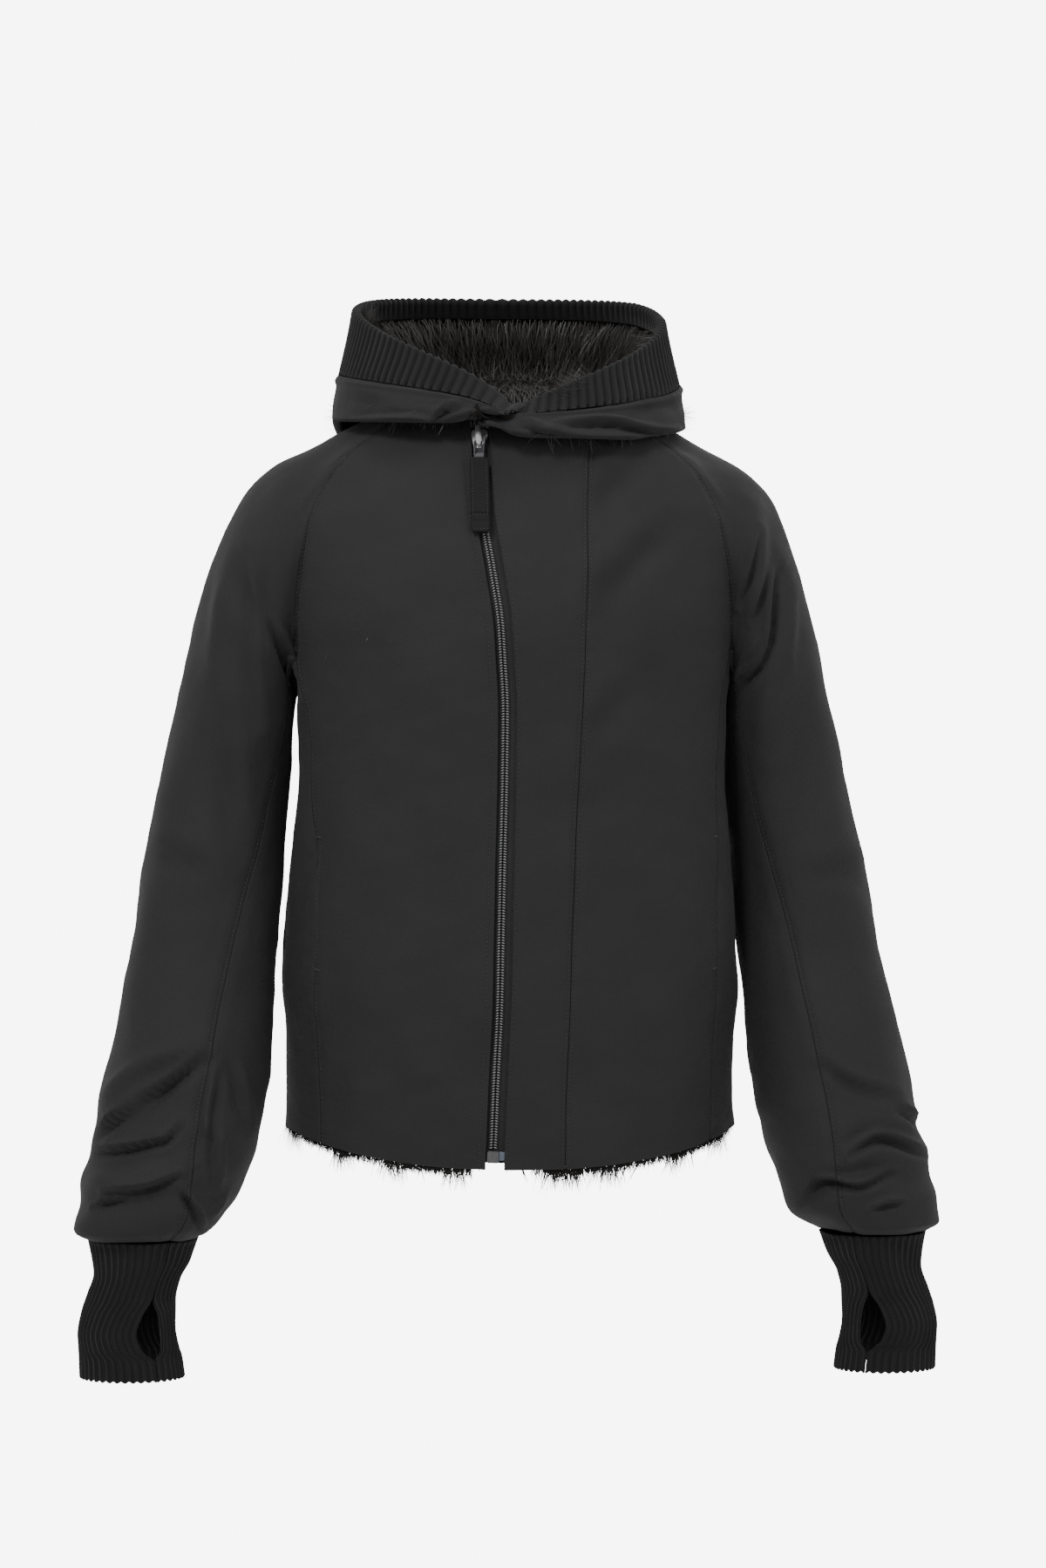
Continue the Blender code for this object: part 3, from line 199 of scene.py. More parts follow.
largeFolds = [
    # side seen from, depth, width, swell, then three points across and up
    ("front", 0.45, 0.9, 0.45, -33.6, -56.4, -30.4, -54.4, -24.6, -50.2),
    ("front", 0.40, 0.8, 0.45, -34.4, -60.9, -30.5, -61.0, -26.4, -59.2),
    ("front", 0.45, 0.8, 0.45, 31.9, -58.0, 28.5, -56.4, 25.8, -57.8),
    ("front", 0.50, 0.8, 0.45, 30.0, -59.2, 26.0, -59.6, 22.0, -61.8),
    ("front", 0.50, 1.1, 0.50, 20.4, -15.6, 21.2, -11.0, 21.5, -4.5),
    ("front", 0.45, 1.0, 0.40, -20.2, -16.4, -20.9, -14.4, -21.8, -11.6),
    ("front", 0.25, 1.4, 0.25, 5.8, -17.5, 8.5, -12.0, 12.6, -6.5),
    ("front", 0.25, 1.4, 0.25, -18.0, -45.0, -16.6, -37.0, -15.4, -30.5),
    ("back", 0.45, 0.9, 0.45, 33.4, -57.0, 29.5, -55.6, 24.6, -57.6),
    ("back", 0.45, 0.9, 0.45, -33.4, -58.4, -29.0, -57.0, -24.0, -58.6),
    ("back", 0.45, 1.1, 0.40, 20.4, -16.0, 21.0, -12.0, 21.3, -8.0),
    ("back", 0.45, 1.1, 0.40, -20.4, -16.0, -21.0, -12.0, -21.3, -8.0),
]


def curve(table, at):
    rows = np.asarray(table, float)
    keys, values = rows[:, 0], rows[:, 1:]
    rise = np.diff(values, axis=0) / np.diff(keys)[:, None]
    slopes = np.zeros_like(values)
    slopes[0], slopes[-1] = rise[0], rise[-1]
    sameWay = rise[:-1] * rise[1:] > 0
    total = np.where(sameWay, rise[:-1] + rise[1:], 1.0)
    slopes[1:-1] = np.where(sameWay, 2.0 * rise[:-1] * rise[1:] / total, 0.0)
    at = np.atleast_1d(np.asarray(at, float))
    row = np.clip(np.searchsorted(keys, at, side="right") - 1, 0, len(keys) - 2)
    span = (keys[row + 1] - keys[row])[..., None]
    s = ((at - keys[row]) / span[..., 0])[..., None]
    return ((1 + 2 * s) * (1 - s) ** 2 * values[row] + s * (1 - s) ** 2 * span * slopes[row]
            + s * s * (3 - 2 * s) * values[row + 1] + s * s * (s - 1) * span * slopes[row + 1])


def lengthAlong(line):
    return np.concatenate([[0.0], np.cumsum(np.linalg.norm(np.diff(line, axis=0), axis=1))])


def unit(vectors):
    return vectors / np.linalg.norm(vectors, axis=-1)[..., None]


def bell(value, at, width):
    return np.exp(-((value - at) / width) ** 2)


def bend(value, exponent):
    return np.sign(value) * np.abs(value) ** exponent


def bodyColumn(level, name):
    return curve(bodyRings, level)[..., bodyColumns.index(name)]


def bodyPoint(level, angle):
    # angle 0 is the front middle and +90 the left side
    level, angle = np.broadcast_arrays(np.asarray(level, float), np.asarray(angle, float))
    row = curve(bodyRings, level.ravel()).reshape(level.shape + (-1,))
    value = dict(zip(bodyColumns, np.moveaxis(row, -1, 0)))
    sine, cosine = np.sin(np.radians(angle)), np.cos(np.radians(angle))
    front = cosine > 0
    middle = np.where(front, value["frontMid"], value["backMid"])
    edge = np.where(front, value["frontY"], value["backY"])
    top = np.where(front, value["frontZ"], value["backZ"])
    y = middle + (edge - middle) * np.abs(cosine) ** cloth["ringPower"]
    press = np.clip(1.0 - (y / cloth["pinchReach"]) ** 2, 0.0, None) ** 2
    x = value["halfWidth"] * bend(sine, cloth["ringPower"]) - np.sign(sine) * value["pinch"] * press
    z = value["sideZ"] + (top - value["sideZ"]) * cosine ** 2
    return np.stack([x, y, z], axis=-1) * cm


def angleAt(level, x):
    return np.degrees(np.arcsin(bend(x / bodyColumn(level, "halfWidth"), 1.0 / cloth["ringPower"])))


def between(start, stop, shares):
    start, stop = np.atleast_1d(start), np.atleast_1d(stop)
    return start[:, None] + (stop - start)[:, None] * shares[None, :]


def seamShares(width, step):
    # shares across a panel, close together beside its two seams
    near = np.array([0, .7, 1.5, 2.4, 3.3, 4.2, 5.2, 6.6, 8.8, 12.0]) * mm / width
    count = max(2, int(round((width - 24 * mm) / step)))
    middle = np.linspace(near[-1], 1 - near[-1], count + 1)
    return np.concatenate([near, middle[1:-1], 1 - near[::-1]])


def sideGrid(lower, shares):
    height = lower / cloth["underarm"]
    top = cloth["underarm"] - cloth["underarmDip"] * np.sin(np.pi * shares)
    top[0] = top[-1] = cloth["underarm"]
    level = height[:, None] * top[None, :]
    level[:, 0] = level[:, -1] = lower
    first = bodyColumn(lower, "frontSeam")
    last = 180.0 - bodyColumn(lower, "backSeam")
    return bodyPoint(level, between(first, last, shares))


def sleeveRing(station, angle):
    values = curve(sleeveRings, station)
    innerX, innerZ, outerX, outerZ, midY, depth = values[..., :6].T
    inner = np.stack([innerX, midY, innerZ], axis=-1)
    outer = np.stack([outerX, midY, outerZ], axis=-1)
    middle, reach = (inner + outer) / 2, (inner - outer) / 2
    turn = np.radians(angle)
    points = middle + reach * bend(np.cos(turn), cloth["sleevePower"])[..., None]
    points[..., 1] -= bend(np.sin(turn), cloth["sleevePower"]) * depth
    return points * cm


def armholeRing(yoke, neckShares, sideTop):
    front = bodyPoint(yoke, bodyColumn(yoke, "frontSeam"))
    neckAngles = between(bodyColumn(cloth["neck"], "frontSeam"),
                         180.0 - bodyColumn(cloth["neck"], "backSeam"), neckShares)[0]
    neck = bodyPoint(cloth["neck"], neckAngles)
    back = bodyPoint(yoke[::-1], 180.0 - bodyColumn(yoke[::-1], "backSeam"))
    return np.concatenate([front, neck[1:-1], back, sideTop[::-1][1:-1]])


def sleeveGrid(ring, underColumns, stations):
    first = curve(sleeveRings, 0.0)[0]
    inner, outer = np.array([first[0], first[1]]), np.array([first[2], first[3]])
    middle, reach = (inner + outer) / 2, (inner - outer) / 2
    along = (ring[:, [0, 2]] / cm - middle) @ reach / (reach @ reach)
    across = (first[4] - ring[:, 1] / cm) / first[5]
    angle = np.degrees(np.arctan2(across, along)) % 360.0
    upperCount = len(ring) - underColumns + 1
    upper = angle[:upperCount]
    under = np.concatenate([angle[upperCount - 1:] - 360.0, angle[:1]])
    under = np.where(under < -180.0, under + 360.0, under)
    upperShare = (upper - upper[0]) / (upper[-1] - upper[0])
    underShare = (under - under[0]) / (under[-1] - under[0])
    evenShare = np.linspace(0.0, 1.0, upperCount)
    evenShare = 0.5 - 0.5 * np.cos(np.pi * evenShare)      # lower down, the columns spread evenly
    values = curve(sleeveRings, stations)
    ownShape, grid = None, []
    for station, value in zip(stations, values):
        frontSeam, backSeam, settle = value[6:9]
        ease = 1.0 - np.clip(station / 7.0, 0.0, 1.0)
        share = upperShare * (0.45 + 0.55 * ease) + evenShare * 0.55 * (1.0 - ease)
        upperAngle = frontSeam + share * (360.0 - backSeam - frontSeam)
        underAngle = -backSeam + underShare * (frontSeam + backSeam)
        turn = np.concatenate([upperAngle, underAngle[1:-1]])
        plain = sleeveRing(np.full(len(ring), station), turn)
        if ownShape is None:
            ownShape = ring - plain
        grid.append(plain + settle * ownShape)
    grid[0] = ring
    grid = np.array(grid)
    return np.concatenate([grid, grid[:, :1]], axis=1)


leftArm = {"inset": 0.6, "fromX": 18.0, "fullX": 28.0, "fromZ": -3.0, "fullZ": -17.0}


def drawnIn(points):
    # the left arm hangs a little closer to the body than the table says
    out = (points[..., 0] / cm - leftArm["fromX"]) / (leftArm["fullX"] - leftArm["fromX"])
    low = (points[..., 2] / cm - leftArm["fromZ"]) / (leftArm["fullZ"] - leftArm["fromZ"])
    inset = leftArm["inset"] * cm * np.clip(out, 0.0, 1.0) * np.clip(low, 0.0, 1.0)
    return points - inset[..., None] * np.array([1.0, 0.0, 0.0])


hoodForm = {"power": 2.0 / 2.25, "lift": 0.06, "sagSpan": 120.0, "bandRing": 7.0, "ribs": 112,
            "lapLeft": 5.5, "lapRight": 3.2, "lapDepth": 0.5, "lapSpan": 9.0, "droop": 1.05, "droopSpan": 112.0,
            "flapDrop": 0.62, "backSquare": 2.3, "backRise": 0.3, "rimWider": 0.55, "notch": 1.0}


def hoodPoint(ring, share):
    # share runs 0 to 1 from the hood's left end round the back to its right end
    ring, share = np.broadcast_arrays(np.asarray(ring, float), np.asarray(share, float))
    values = curve(hoodRings, ring.ravel()).reshape(ring.shape + (-1,))
    half, frontY, backY, frontZ, sideZ, backZ, sag, rise, endX = np.moveaxis(values, -1, 0)
    end = np.degrees(np.arcsin(bend(endX / half, 1.0 / hoodForm["power"])))
    # past the front middle the two ends lap over each other, the right one outside
    lapping = np.clip((ring - 4.0) / 2.0, 0.0, 1.0)
    first, last = end + 0.35 - hoodForm["lapLeft"] * lapping, end + 359.65 + hoodForm["lapRight"] * lapping
    angle = first + share * (last - first)
    rim = np.clip(ring - 7.0, 0.0, 1.0)
    half = half + hoodForm["rimWider"] * rim ** 2
    sine, cosine = np.sin(np.radians(angle)), np.cos(np.radians(angle))
    front = cosine > 0
    y = np.where(front, frontY, backY) * np.abs(cosine) ** hoodForm["power"]
    x = half * bend(sine, hoodForm["power"])
    pastEnd = np.where(share < 0.5, (angle - end) / (90.0 - end), (end + 360.0 - angle) / (90.0 + end))
    climb = frontZ + (sideZ - frontZ) * np.clip(pastEnd, 0.0, 1.0) ** rise
    backZ = backZ + hoodForm["backRise"] * rim
    aside = np.clip(np.abs(angle - 180.0) / 90.0, 0.0, 1.0)
    square = (1.0 - rim) * cosine ** 2 + rim * (1.0 - aside ** hoodForm["backSquare"])
    z = np.where(front, climb, sideZ + (backZ - sideZ) * square)
    z = z - sag * np.sin(np.pi * np.clip((angle - end) / hoodForm["sagSpan"], 0.0, 1.0))
    fall = np.clip((angle - end) / hoodForm["droopSpan"], 0.0, 1.0)
    z = z - hoodForm["droop"] * (1.0 - fall * fall * (3.0 - 2.0 * fall)) * np.clip(ring - 2.2, 0.0, 1.0)
    z = z - hoodForm["flapDrop"] * bell(last, angle, 10.0) * np.clip(ring - 5.0, 0.0, 1.0)
    opening = bell(x, -2.5, 1.5) * bell(ring, 3.2, 1.6) * front
    z = z + hoodForm["notch"] * opening
    inward = bell(angle, first, hoodForm["lapSpan"]) - bell(last, angle, hoodForm["lapSpan"])
    y = y + hoodForm["lapDepth"] * inward * lapping
    points = np.stack([x, y, z], axis=-1) * cm
    neck = bodyPoint(cloth["neck"], angle) + np.array([0.0, 0.0, hoodForm["lift"] * cm])
    return points + np.clip(1.0 - ring, 0.0, 1.0)[..., None] * (neck - points)


def cuffPoint(z, angle):
    middleX, middleY, halfWidth, halfDepth, slit = curve(cuffRings[::-1], z)[0]
    turn = np.radians(angle)
    x = middleX - halfWidth * np.cos(turn)
    y = middleY - halfDepth * np.sin(turn)
    return np.stack([x, y, np.full_like(x, z)], axis=-1) * cm, slit, halfWidth


# ---- creases, in centimetres as the camera sees them: side, depth mm, half width, path
creases = [
    ("hood", 3.8, .38, [(-14.4, 0.1), (-12.1, 0.8), (-7.6, 1.0), (-6.3, 0.6), (-5.1, 0.9), (-3.9, 1.3)]),
    ("hood", 3.2, .32, [(-6.4, 0.7), (-5.8, 1.5), (-4.9, 2.1), (-3.8, 2.5)]),
    ("hood", 0.9, .70, [(-13.5, 3.5), (-12.6, 3.0), (-10.3, 2.5)]),
    ("hood", 3.2, .38, [(1.0, 1.1), (1.9, 0.5), (2.9, 0.0), (5.1, 0.1)]),
    ("hood", 3.0, .38, [(3.5, 0.5), (5.4, 0.8), (7.8, 0.9), (11.1, 0.3), (14.1, 0.0)]),
    ("hood", 3.0, .36, [(2.4, -1.6), (3.4, -0.9), (4.4, -0.3), (6.7, -0.4), (14.5, -0.6)]),
    ("hood", 2.0, .40, [(-1.1, -1.1), (0.4, -0.8), (1.9, -0.9)]),
    ("hood", 1.8, .40, [(-0.2, -0.3), (1.1, -0.2), (2.4, -0.3)]),
    ("hood", 0.9, .70, [(10.3, 1.8), (11.9, 2.3), (13.6, 2.6)]),
    ("front", 3.6, .50, [(-24.9, -51.2), (-27.1, -52.7), (-28.4, -53.7), (-30.0, -54.7)]),
    ("front", 2.2, .80, [(-25.0, -51.0), (-28.0, -51.6), (-31.0, -53.4), (-33.4, -55.6)]),
    ("front", 3.2, .34, [(-31.0, -55.3), (-32.3, -56.1), (-33.8, -57.4)]),
    ("front", 3.8, .38, [(-34.6, -58.8), (-31.7, -58.6), (-29.4, -58.1), (-28.1, -57.8), (-26.9, -56.6)]),
    ("front", 3.4, .34, [(-32.9, -62.2), (-29.6, -61.7), (-27.0, -60.7)]),
    ("front", 2.6, .28, [(-34.1, -63.2), (-32.8, -62.8), (-31.4, -62.5)]),
    ("front", 3.0, .38, [(-26.8, -62.2), (-26.0, -63.4), (-25.4, -65.0)]),
    ("front", 2.8, .48, [(-23.5, -52.0), (-24.3, -57.0), (-24.2, -61.6)]),
    ("front", 2.2, .55, [(-22.8, -51.5), (-22.2, -54.0), (-21.6, -56.6)]),
    ("front", -1.8, .45, [(-22.8, -62.2), (-23.4, -63.0), (-24.2, -64.0)]),
    ("front", 3.8, .42, [(28.1, -58.9), (30.4, -57.7), (33.8, -58.9)]),
    ("front", 3.4, .38, [(24.1, -62.8), (25.7, -61.2), (28.4, -61.6), (31.4, -60.5)]),
    ("front", 2.6, .30, [(29.9, -63.5), (31.0, -63.1), (32.1, -62.9)]),
    ("front", 3.0, .40, [(31.6, -55.2), (33.0, -55.9), (34.6, -57.2)]),
    ("front", 2.6, .55, [(25.6, -51.6), (28.6, -53.4), (31.4, -54.2)]),
    ("front", 1.5, 1.3, [(10.6, -2.0), (9.1, -3.7), (7.1, -5.8)]),
    ("front", 1.5, 1.5, [(13.9, -7.5), (11.1, -10.0), (7.6, -13.5)]),
    ("front", 1.4, 1.5, [(11.1, -19.8), (9.1, -22.2), (6.8, -25.2)]),
    ("front", 4.0, .50, [(22.7, -10.8), (22.2, -12.8), (21.5, -17.0), (20.6, -18.9), (18.8, -20.3)]),
    ("front", -2.2, .80, [(23.4, -10.0), (23.4, -14.2), (23.3, -19.2), (22.4, -23.1), (21.8, -26.4)]),
    ("front", 2.0, 1.2, [(24.1, -14.2), (23.6, -18.5), (22.9, -21.4), (22.1, -25.7)]),
    ("front", 2.8, .42, [(20.5, -8.0), (19.9, -10.8), (19.1, -13.8)]),
    ("front", 2.0, .40, [(21.3, -11.4), (20.6, -13.4), (20.1, -15.0)]),
    ("front", 2.0, .40, [(21.0, -16.4), (20.3, -17.8), (19.6, -18.9)]),
    ("front", 1.8, .40, [(20.4, -19.1), (19.4, -20.3), (18.6, -21.4)]),
    ("front", 3.8, .45, [(-19.6, -15.5), (-18.4, -18.1), (-17.7, -20.0), (-17.2, -21.4)]),
    ("front", -1.6, 1.0, [(-23.0, -10.0), (-23.9, -14.2), (-24.6, -19.2)]),
    ("front", 1.6, 1.3, [(-23.7, -22.8), (-23.3, -28.5), (-22.9, -34.2)]),
    ("front", 1.8, .80, [(-21.9, -10.0), (-21.7, -17.1), (-21.0, -23.5)]),
    ("front", 1.8, 1.3, [(-14.9, -28.9), (-16.6, -35.7), (-17.8, -43.5)]),
    ("front", 1.6, 1.2, [(-31.0, -35.7), (-28.1, -34.6), (-24.9, -35.7)]),
    ("front", 1.6, 1.2, [(24.7, -36.4), (27.2, -35.7), (30.4, -37.1)]),
    ("front", 1.0, 2.0, [(-10.3, -48.5), (-9.9, -52.8), (-10.3, -57.1)]),
    ("back", 3.4, .50, [(34.0, -57.5), (30.0, -56.0), (25.0, -58.0)]),
    ("back", 3.0, .40, [(33.5, -61.5), (29.5, -60.2), (25.5, -61.8)]),
    ("back", 2.6, .34, [(31.0, -63.4), (28.5, -62.6), (26.0, -63.2)]),
    ("back", 3.4, .50, [(-34.0, -58.6), (-29.5, -57.2), (-24.5, -59.0)]),
    ("back", 3.0, .40, [(-33.0, -62.0), (-29.0, -61.0), (-25.5, -62.4)]),
    ("back", 2.4, .80, [(20.6, -9.0), (20.2, -13.5), (19.0, -18.5)]),
    ("back", 2.4, .80, [(-20.8, -8.0), (-20.3, -13.0), (-19.0, -18.0)]),
    ("back", 1.5, 1.5, [(15.0, -6.0), (11.5, -10.5), (6.0, -13.5)]),
    ("back", 1.5, 1.5, [(-15.5, -7.0), (-11.0, -12.0), (-5.5, -14.5)]),
    ("back", 1.4, 1.8, [(13.0, -30.0), (8.0, -33.0), (2.0, -34.0)]),
    ("back", 1.4, 1.8, [(-14.0, -27.0), (-9.0, -31.0), (-3.0, -32.5)]),
    ("back", 1.6, 1.3, [(24.0, -24.0), (24.8, -31.0), (25.5, -38.0)]),
    ("back", 1.6, 1.3, [(-24.0, -26.0), (-24.6, -33.0), (-25.5, -40.0)]),
]
creaseSwell, creaseGain, foldSteps = 0.6, 1.9, 33


def seenFromFront(points):
    x, y, z = np.moveaxis(points / cm, -1, 0)
    across = x * math.cos(viewTurn) - y * math.sin(viewTurn)
    away = x * math.sin(viewTurn) + y * math.cos(viewTurn)
    scale = 290.0 / (290.0 + away)
    return np.stack([1.14 + (across - 1.14) * scale, -28.5 + (z + 28.5) * scale], axis=-1)


def smoothPath(path, steps):
    path = np.array(path, float)
    spots = lengthAlong(path)
    return curve(np.column_stack([spots, path]), np.linspace(0.0, spots[-1], steps))


def creaseShift(points, normals, side):
    # how far the creases seen from one side move each point along its normal
    flat = seenFromFront(points) if side != "back" else points[:, [0, 2]] / cm
    facing = np.clip((normals[:, 1] if side == "back" else -normals[:, 1]) * 1.7, 0.0, 1.0)
    shift = np.zeros(len(points))
    for where, depth, width, path in creases:
        if where != side:
            continue
        line = smoothPath(path, foldSteps)
        low, high = line.min(axis=0) - 3 * width, line.max(axis=0) + 3 * width
        near = np.flatnonzero(((flat > low) & (flat < high)).all(axis=1) & (facing > 0))
        if not len(near):
            continue
        away = flat[near, None] - line[None]
        distance = np.linalg.norm(away, axis=2)
        nearest = distance.argmin(axis=1)
        tangent = np.gradient(line, axis=0)[nearest]
        offset = away[np.arange(len(near)), nearest]
        above = np.sign(tangent[:, 0] * offset[:, 1] - tangent[:, 1] * offset[:, 0]) * np.sign(tangent[:, 0] + 1e-9)
        distance = distance[np.arange(len(near)), nearest] / width
        taper = np.sin(np.pi * (0.06 + 0.88 * nearest / (foldSteps - 1))) ** 0.8
        swell = creaseSwell * (1.0 + 0.7 * above) if depth > 0 else 0.25
        shape = -np.exp(-distance ** 1.7 * 1.7) + swell * bell(distance, 1.35, 0.75)
        shift[near] += shape * depth * creaseGain * mm * taper * facing[near]
    return shift


def foldShift(points, normals):
    # the large folds, which the solids have too
    shift = np.zeros(len(points))
    for view, depth, width, bulge, *path in largeFolds:
        start, through, stop = np.array(path).reshape(3, 2) * cm
        steps = np.linspace(0.0, 1.0, 25)[:, None]
        turn = 2 * through - (start + stop) / 2
        line = (1 - steps) ** 2 * start + 2 * steps * (1 - steps) * turn + steps ** 2 * stop
        flat = points[:, [0, 2]]
        margin = 4 * width * cm
        near = np.flatnonzero(((flat > line.min(axis=0) - margin) & (flat < line.max(axis=0) + margin)).all(axis=1))
        away = flat[near, None] - line[None]
        distance = np.linalg.norm(away, axis=2)
        nearest = distance.argmin(axis=1)
        pick = np.arange(len(near))
        tangent = np.gradient(line, axis=0)[nearest]
        offset = away[pick, nearest]
        side = np.sign(tangent[:, 0] * offset[:, 1] - tangent[:, 1] * offset[:, 0])
        reach = side * distance[pick, nearest] / (width * cm)
        taper = np.sin(np.pi * (0.08 + 0.84 * nearest / (len(line) - 1)))
        facing = -normals[near, 1] if view == "front" else normals[near, 1]
        facing = np.clip(facing * 1.6, 0.0, 1.0)
        profile = -depth * np.exp(-reach ** 2) + bulge * bell(reach, 1.7, 1.3)
        shift[near] += profile * cm * taper * facing
    return shift


def softNoise(points, size, seed, stretch=(1.0, 1.0, 1.0)):
    # a few sine waves in chance directions, the same each run
    chance = np.random.default_rng(seed)
    total = np.zeros(len(points))
    for _ in range(9):
        direction = chance.normal(size=3) * np.array(stretch)
        pitch = (0.7 + 0.7 * chance.random()) * 2 * math.pi / size
        total += np.sin(points @ direction * pitch / 1.6 + chance.uniform(0, 2 * math.pi))
    return total / 3.0


def gridNormals(grid):
    across, down = np.gradient(grid, axis=1), np.gradient(grid, axis=0)
    normal = np.cross(across, down)
    return normal / np.maximum(np.linalg.norm(normal, axis=2), 1e-12)[..., None]


class SewnCloth:
    # panels whose grids share their seam points, so that they move and shade as one cloth
    def __init__(self):
        self.grids, self.flips = {}, {}

    def add(self, name, grid, flip=False):
        self.grids[name], self.flips[name] = grid, flip

    def gather(self):
        stack = np.concatenate([grid.reshape(-1, 3) for grid in self.grids.values()])
        keys = np.round(stack / 1e-5 + 0.137).astype(np.int64)
        _, first, inverse = np.unique(keys, axis=0, return_index=True, return_inverse=True)
        self.points, inverse, self.index, at = stack[first], inverse.ravel(), {}, 0
        for name, grid in self.grids.items():
            size = grid.shape[0] * grid.shape[1]
            self.index[name] = inverse[at:at + size].reshape(grid.shape[:2])
            at += size
        self.normals = self.findNormals(self.grids)

    def findNormals(self, names):
        total = np.zeros_like(self.points)
        for name in names:
            index = self.index[name]
            a, b, c, d = index[:-1, :-1], index[:-1, 1:], index[1:, 1:], index[1:, :-1]
            face = np.cross(self.points[c] - self.points[a], self.points[d] - self.points[b])
            face *= -1.0 if self.flips[name] else 1.0
            for corner in (a, b, c, d):
                np.add.at(total, corner.ravel(), face.reshape(-1, 3))
        return total / np.maximum(np.linalg.norm(total, axis=1), 1e-12)[:, None]

    def panel(self, name):
        index = self.index[name]
        return self.points[index], self.normals[index]


def pathOnGrid(grid, normals, edge, distance):
    # points on a grid at a distance from one of its edges, with the outward direction there
    if edge in ("bottom", "top"):
        grid, normals = np.swapaxes(grid, 0, 1), np.swapaxes(normals, 0, 1)
    if edge in ("right", "top"):
        grid, normals = grid[:, ::-1], normals[:, ::-1]
    spots, outward = [], []
    for row, normal in zip(grid, normals):
        along = lengthAlong(row[:40])
        spots.append([np.interp(distance, along, row[:40, k]) for k in range(3)])
        outward.append([np.interp(distance, along, normal[:40, k]) for k in range(3)])
    return np.array(spots), unit(np.array(outward))


# ---- node helpers
def addNode(tree, kind, **settings):
    made = tree.nodes.new(kind)
    for key, value in settings.items():
        setattr(made, key, value)
    return made


def feed(tree, socket, value):
    if isinstance(value, bpy.types.NodeSocket):
        tree.links.new(value, socket)
    else:
        socket.default_value = value


def maths(tree, operation, *values, clamp=False):
    made = addNode(tree, "ShaderNodeMath", operation=operation, use_clamp=clamp)
    for socket, value in zip(made.inputs, values):
        feed(tree, socket, value)
    return made.outputs[0]


def vectorMaths(tree, operation, *values):
    made = addNode(tree, "ShaderNodeVectorMath", operation=operation)
    for socket, value in zip(made.inputs, values):
        feed(tree, socket, value)
    return made.outputs[0]


def newGroup(name, inputs, outputs):
    group = bpy.data.node_groups.new(name, "ShaderNodeTree")
    for label, kind, value in inputs:
        socket = group.interface.new_socket(label, in_out="INPUT", socket_type=kind)
        if value is not None:
            socket.default_value = value
    for label, kind in outputs:
        group.interface.new_socket(label, in_out="OUTPUT", socket_type=kind)
    return group, addNode(group, "NodeGroupInput").outputs, addNode(group, "NodeGroupOutput").inputs


def makeWeaveGroup():
    # plain weave with slubs: crossing threads, uneven along their length
    tree, given, out = newGroup("threadWeave", [("Cloth Place", "NodeSocketVector", None),
                                                ("Thread Pitch", "NodeSocketFloat", 0.0011),
                                                ("Slub", "NodeSocketFloat", 0.5)],
                                [("Height", "NodeSocketFloat"), ("Thread Tone", "NodeSocketFloat")])
    split = addNode(tree, "ShaderNodeSeparateXYZ")
    feed(tree, split.inputs[0], given["Cloth Place"])
    turns = maths(tree, "DIVIDE", 2 * math.pi, given["Thread Pitch"])
    waves = [maths(tree, "SINE", maths(tree, "MULTIPLY", split.outputs[k], turns)) for k in (0, 1)]
    crossing = maths(tree, "MULTIPLY", waves[0], waves[1])
    slubs = []
    for stretch, seed in (((900.0, 70.0, 1.0), 3.1), ((60.0, 850.0, 1.0), 7.7)):
        noise = addNode(tree, "ShaderNodeTexNoise", noise_dimensions="3D")
        feed(tree, noise.inputs["Vector"], vectorMaths(tree, "ADD", vectorMaths(
            tree, "MULTIPLY", given["Cloth Place"], stretch), (seed, seed, seed)))
        noise.inputs["Scale"].default_value, noise.inputs["Detail"].default_value = 1.0, 1.5
        slubs.append(maths(tree, "SUBTRACT", noise.outputs["Fac"], 0.5))
    slub = maths(tree, "MULTIPLY", maths(tree, "ADD", slubs[0], slubs[1]), given["Slub"])
    feed(tree, out["Height"], maths(tree, "ADD", maths(tree, "MULTIPLY", crossing, 0.35), slub))
    feed(tree, out["Thread Tone"], maths(tree, "ADD", 0.5, slub, clamp=True))
    return tree


def makeToneGroup():
    # slow uneven tone, as dyed fibre has, mixed with a given fine tone; in the rib knit that fine tone carries
    # painted shade between the ribs
    tree, given, out = newGroup("dyeToneAndPaintedShade", [("Place", "NodeSocketVector", None),
                                            ("Patch Size", "NodeSocketFloat", 0.05),
                                            ("Dark Colour", "NodeSocketColor", (0, 0, 0, 1)),
                                            ("Pale Colour", "NodeSocketColor", (1, 1, 1, 1)),
                                            ("Fine Tone", "NodeSocketFloat", 0.5)],
                                [("Colour", "NodeSocketColor")])
    noise = addNode(tree, "ShaderNodeTexNoise")
    feed(tree, noise.inputs["Vector"], given["Place"])
    feed(tree, noise.inputs["Scale"], maths(tree, "DIVIDE", 1.0, given["Patch Size"]))
    noise.inputs["Detail"].default_value = 3.0
    share = maths(tree, "ADD", maths(tree, "MULTIPLY", noise.outputs["Fac"], 0.5),
                  maths(tree, "MULTIPLY", given["Fine Tone"], 0.5), clamp=True)
    mix = addNode(tree, "ShaderNodeMix", data_type="RGBA")
    feed(tree, mix.inputs["Factor"], share)
    feed(tree, mix.inputs[6], given["Dark Colour"])
    feed(tree, mix.inputs[7], given["Pale Colour"])
    feed(tree, out["Colour"], mix.outputs[2])
    return tree


weaveGroup, toneGroup = makeWeaveGroup(), makeToneGroup()


def placeGroup(tree, group, **values):
    made = addNode(tree, "ShaderNodeGroup", node_tree=group)
    for label, value in values.items():
        feed(tree, made.inputs[label.replace("_", " ")], value)
    return made.outputs


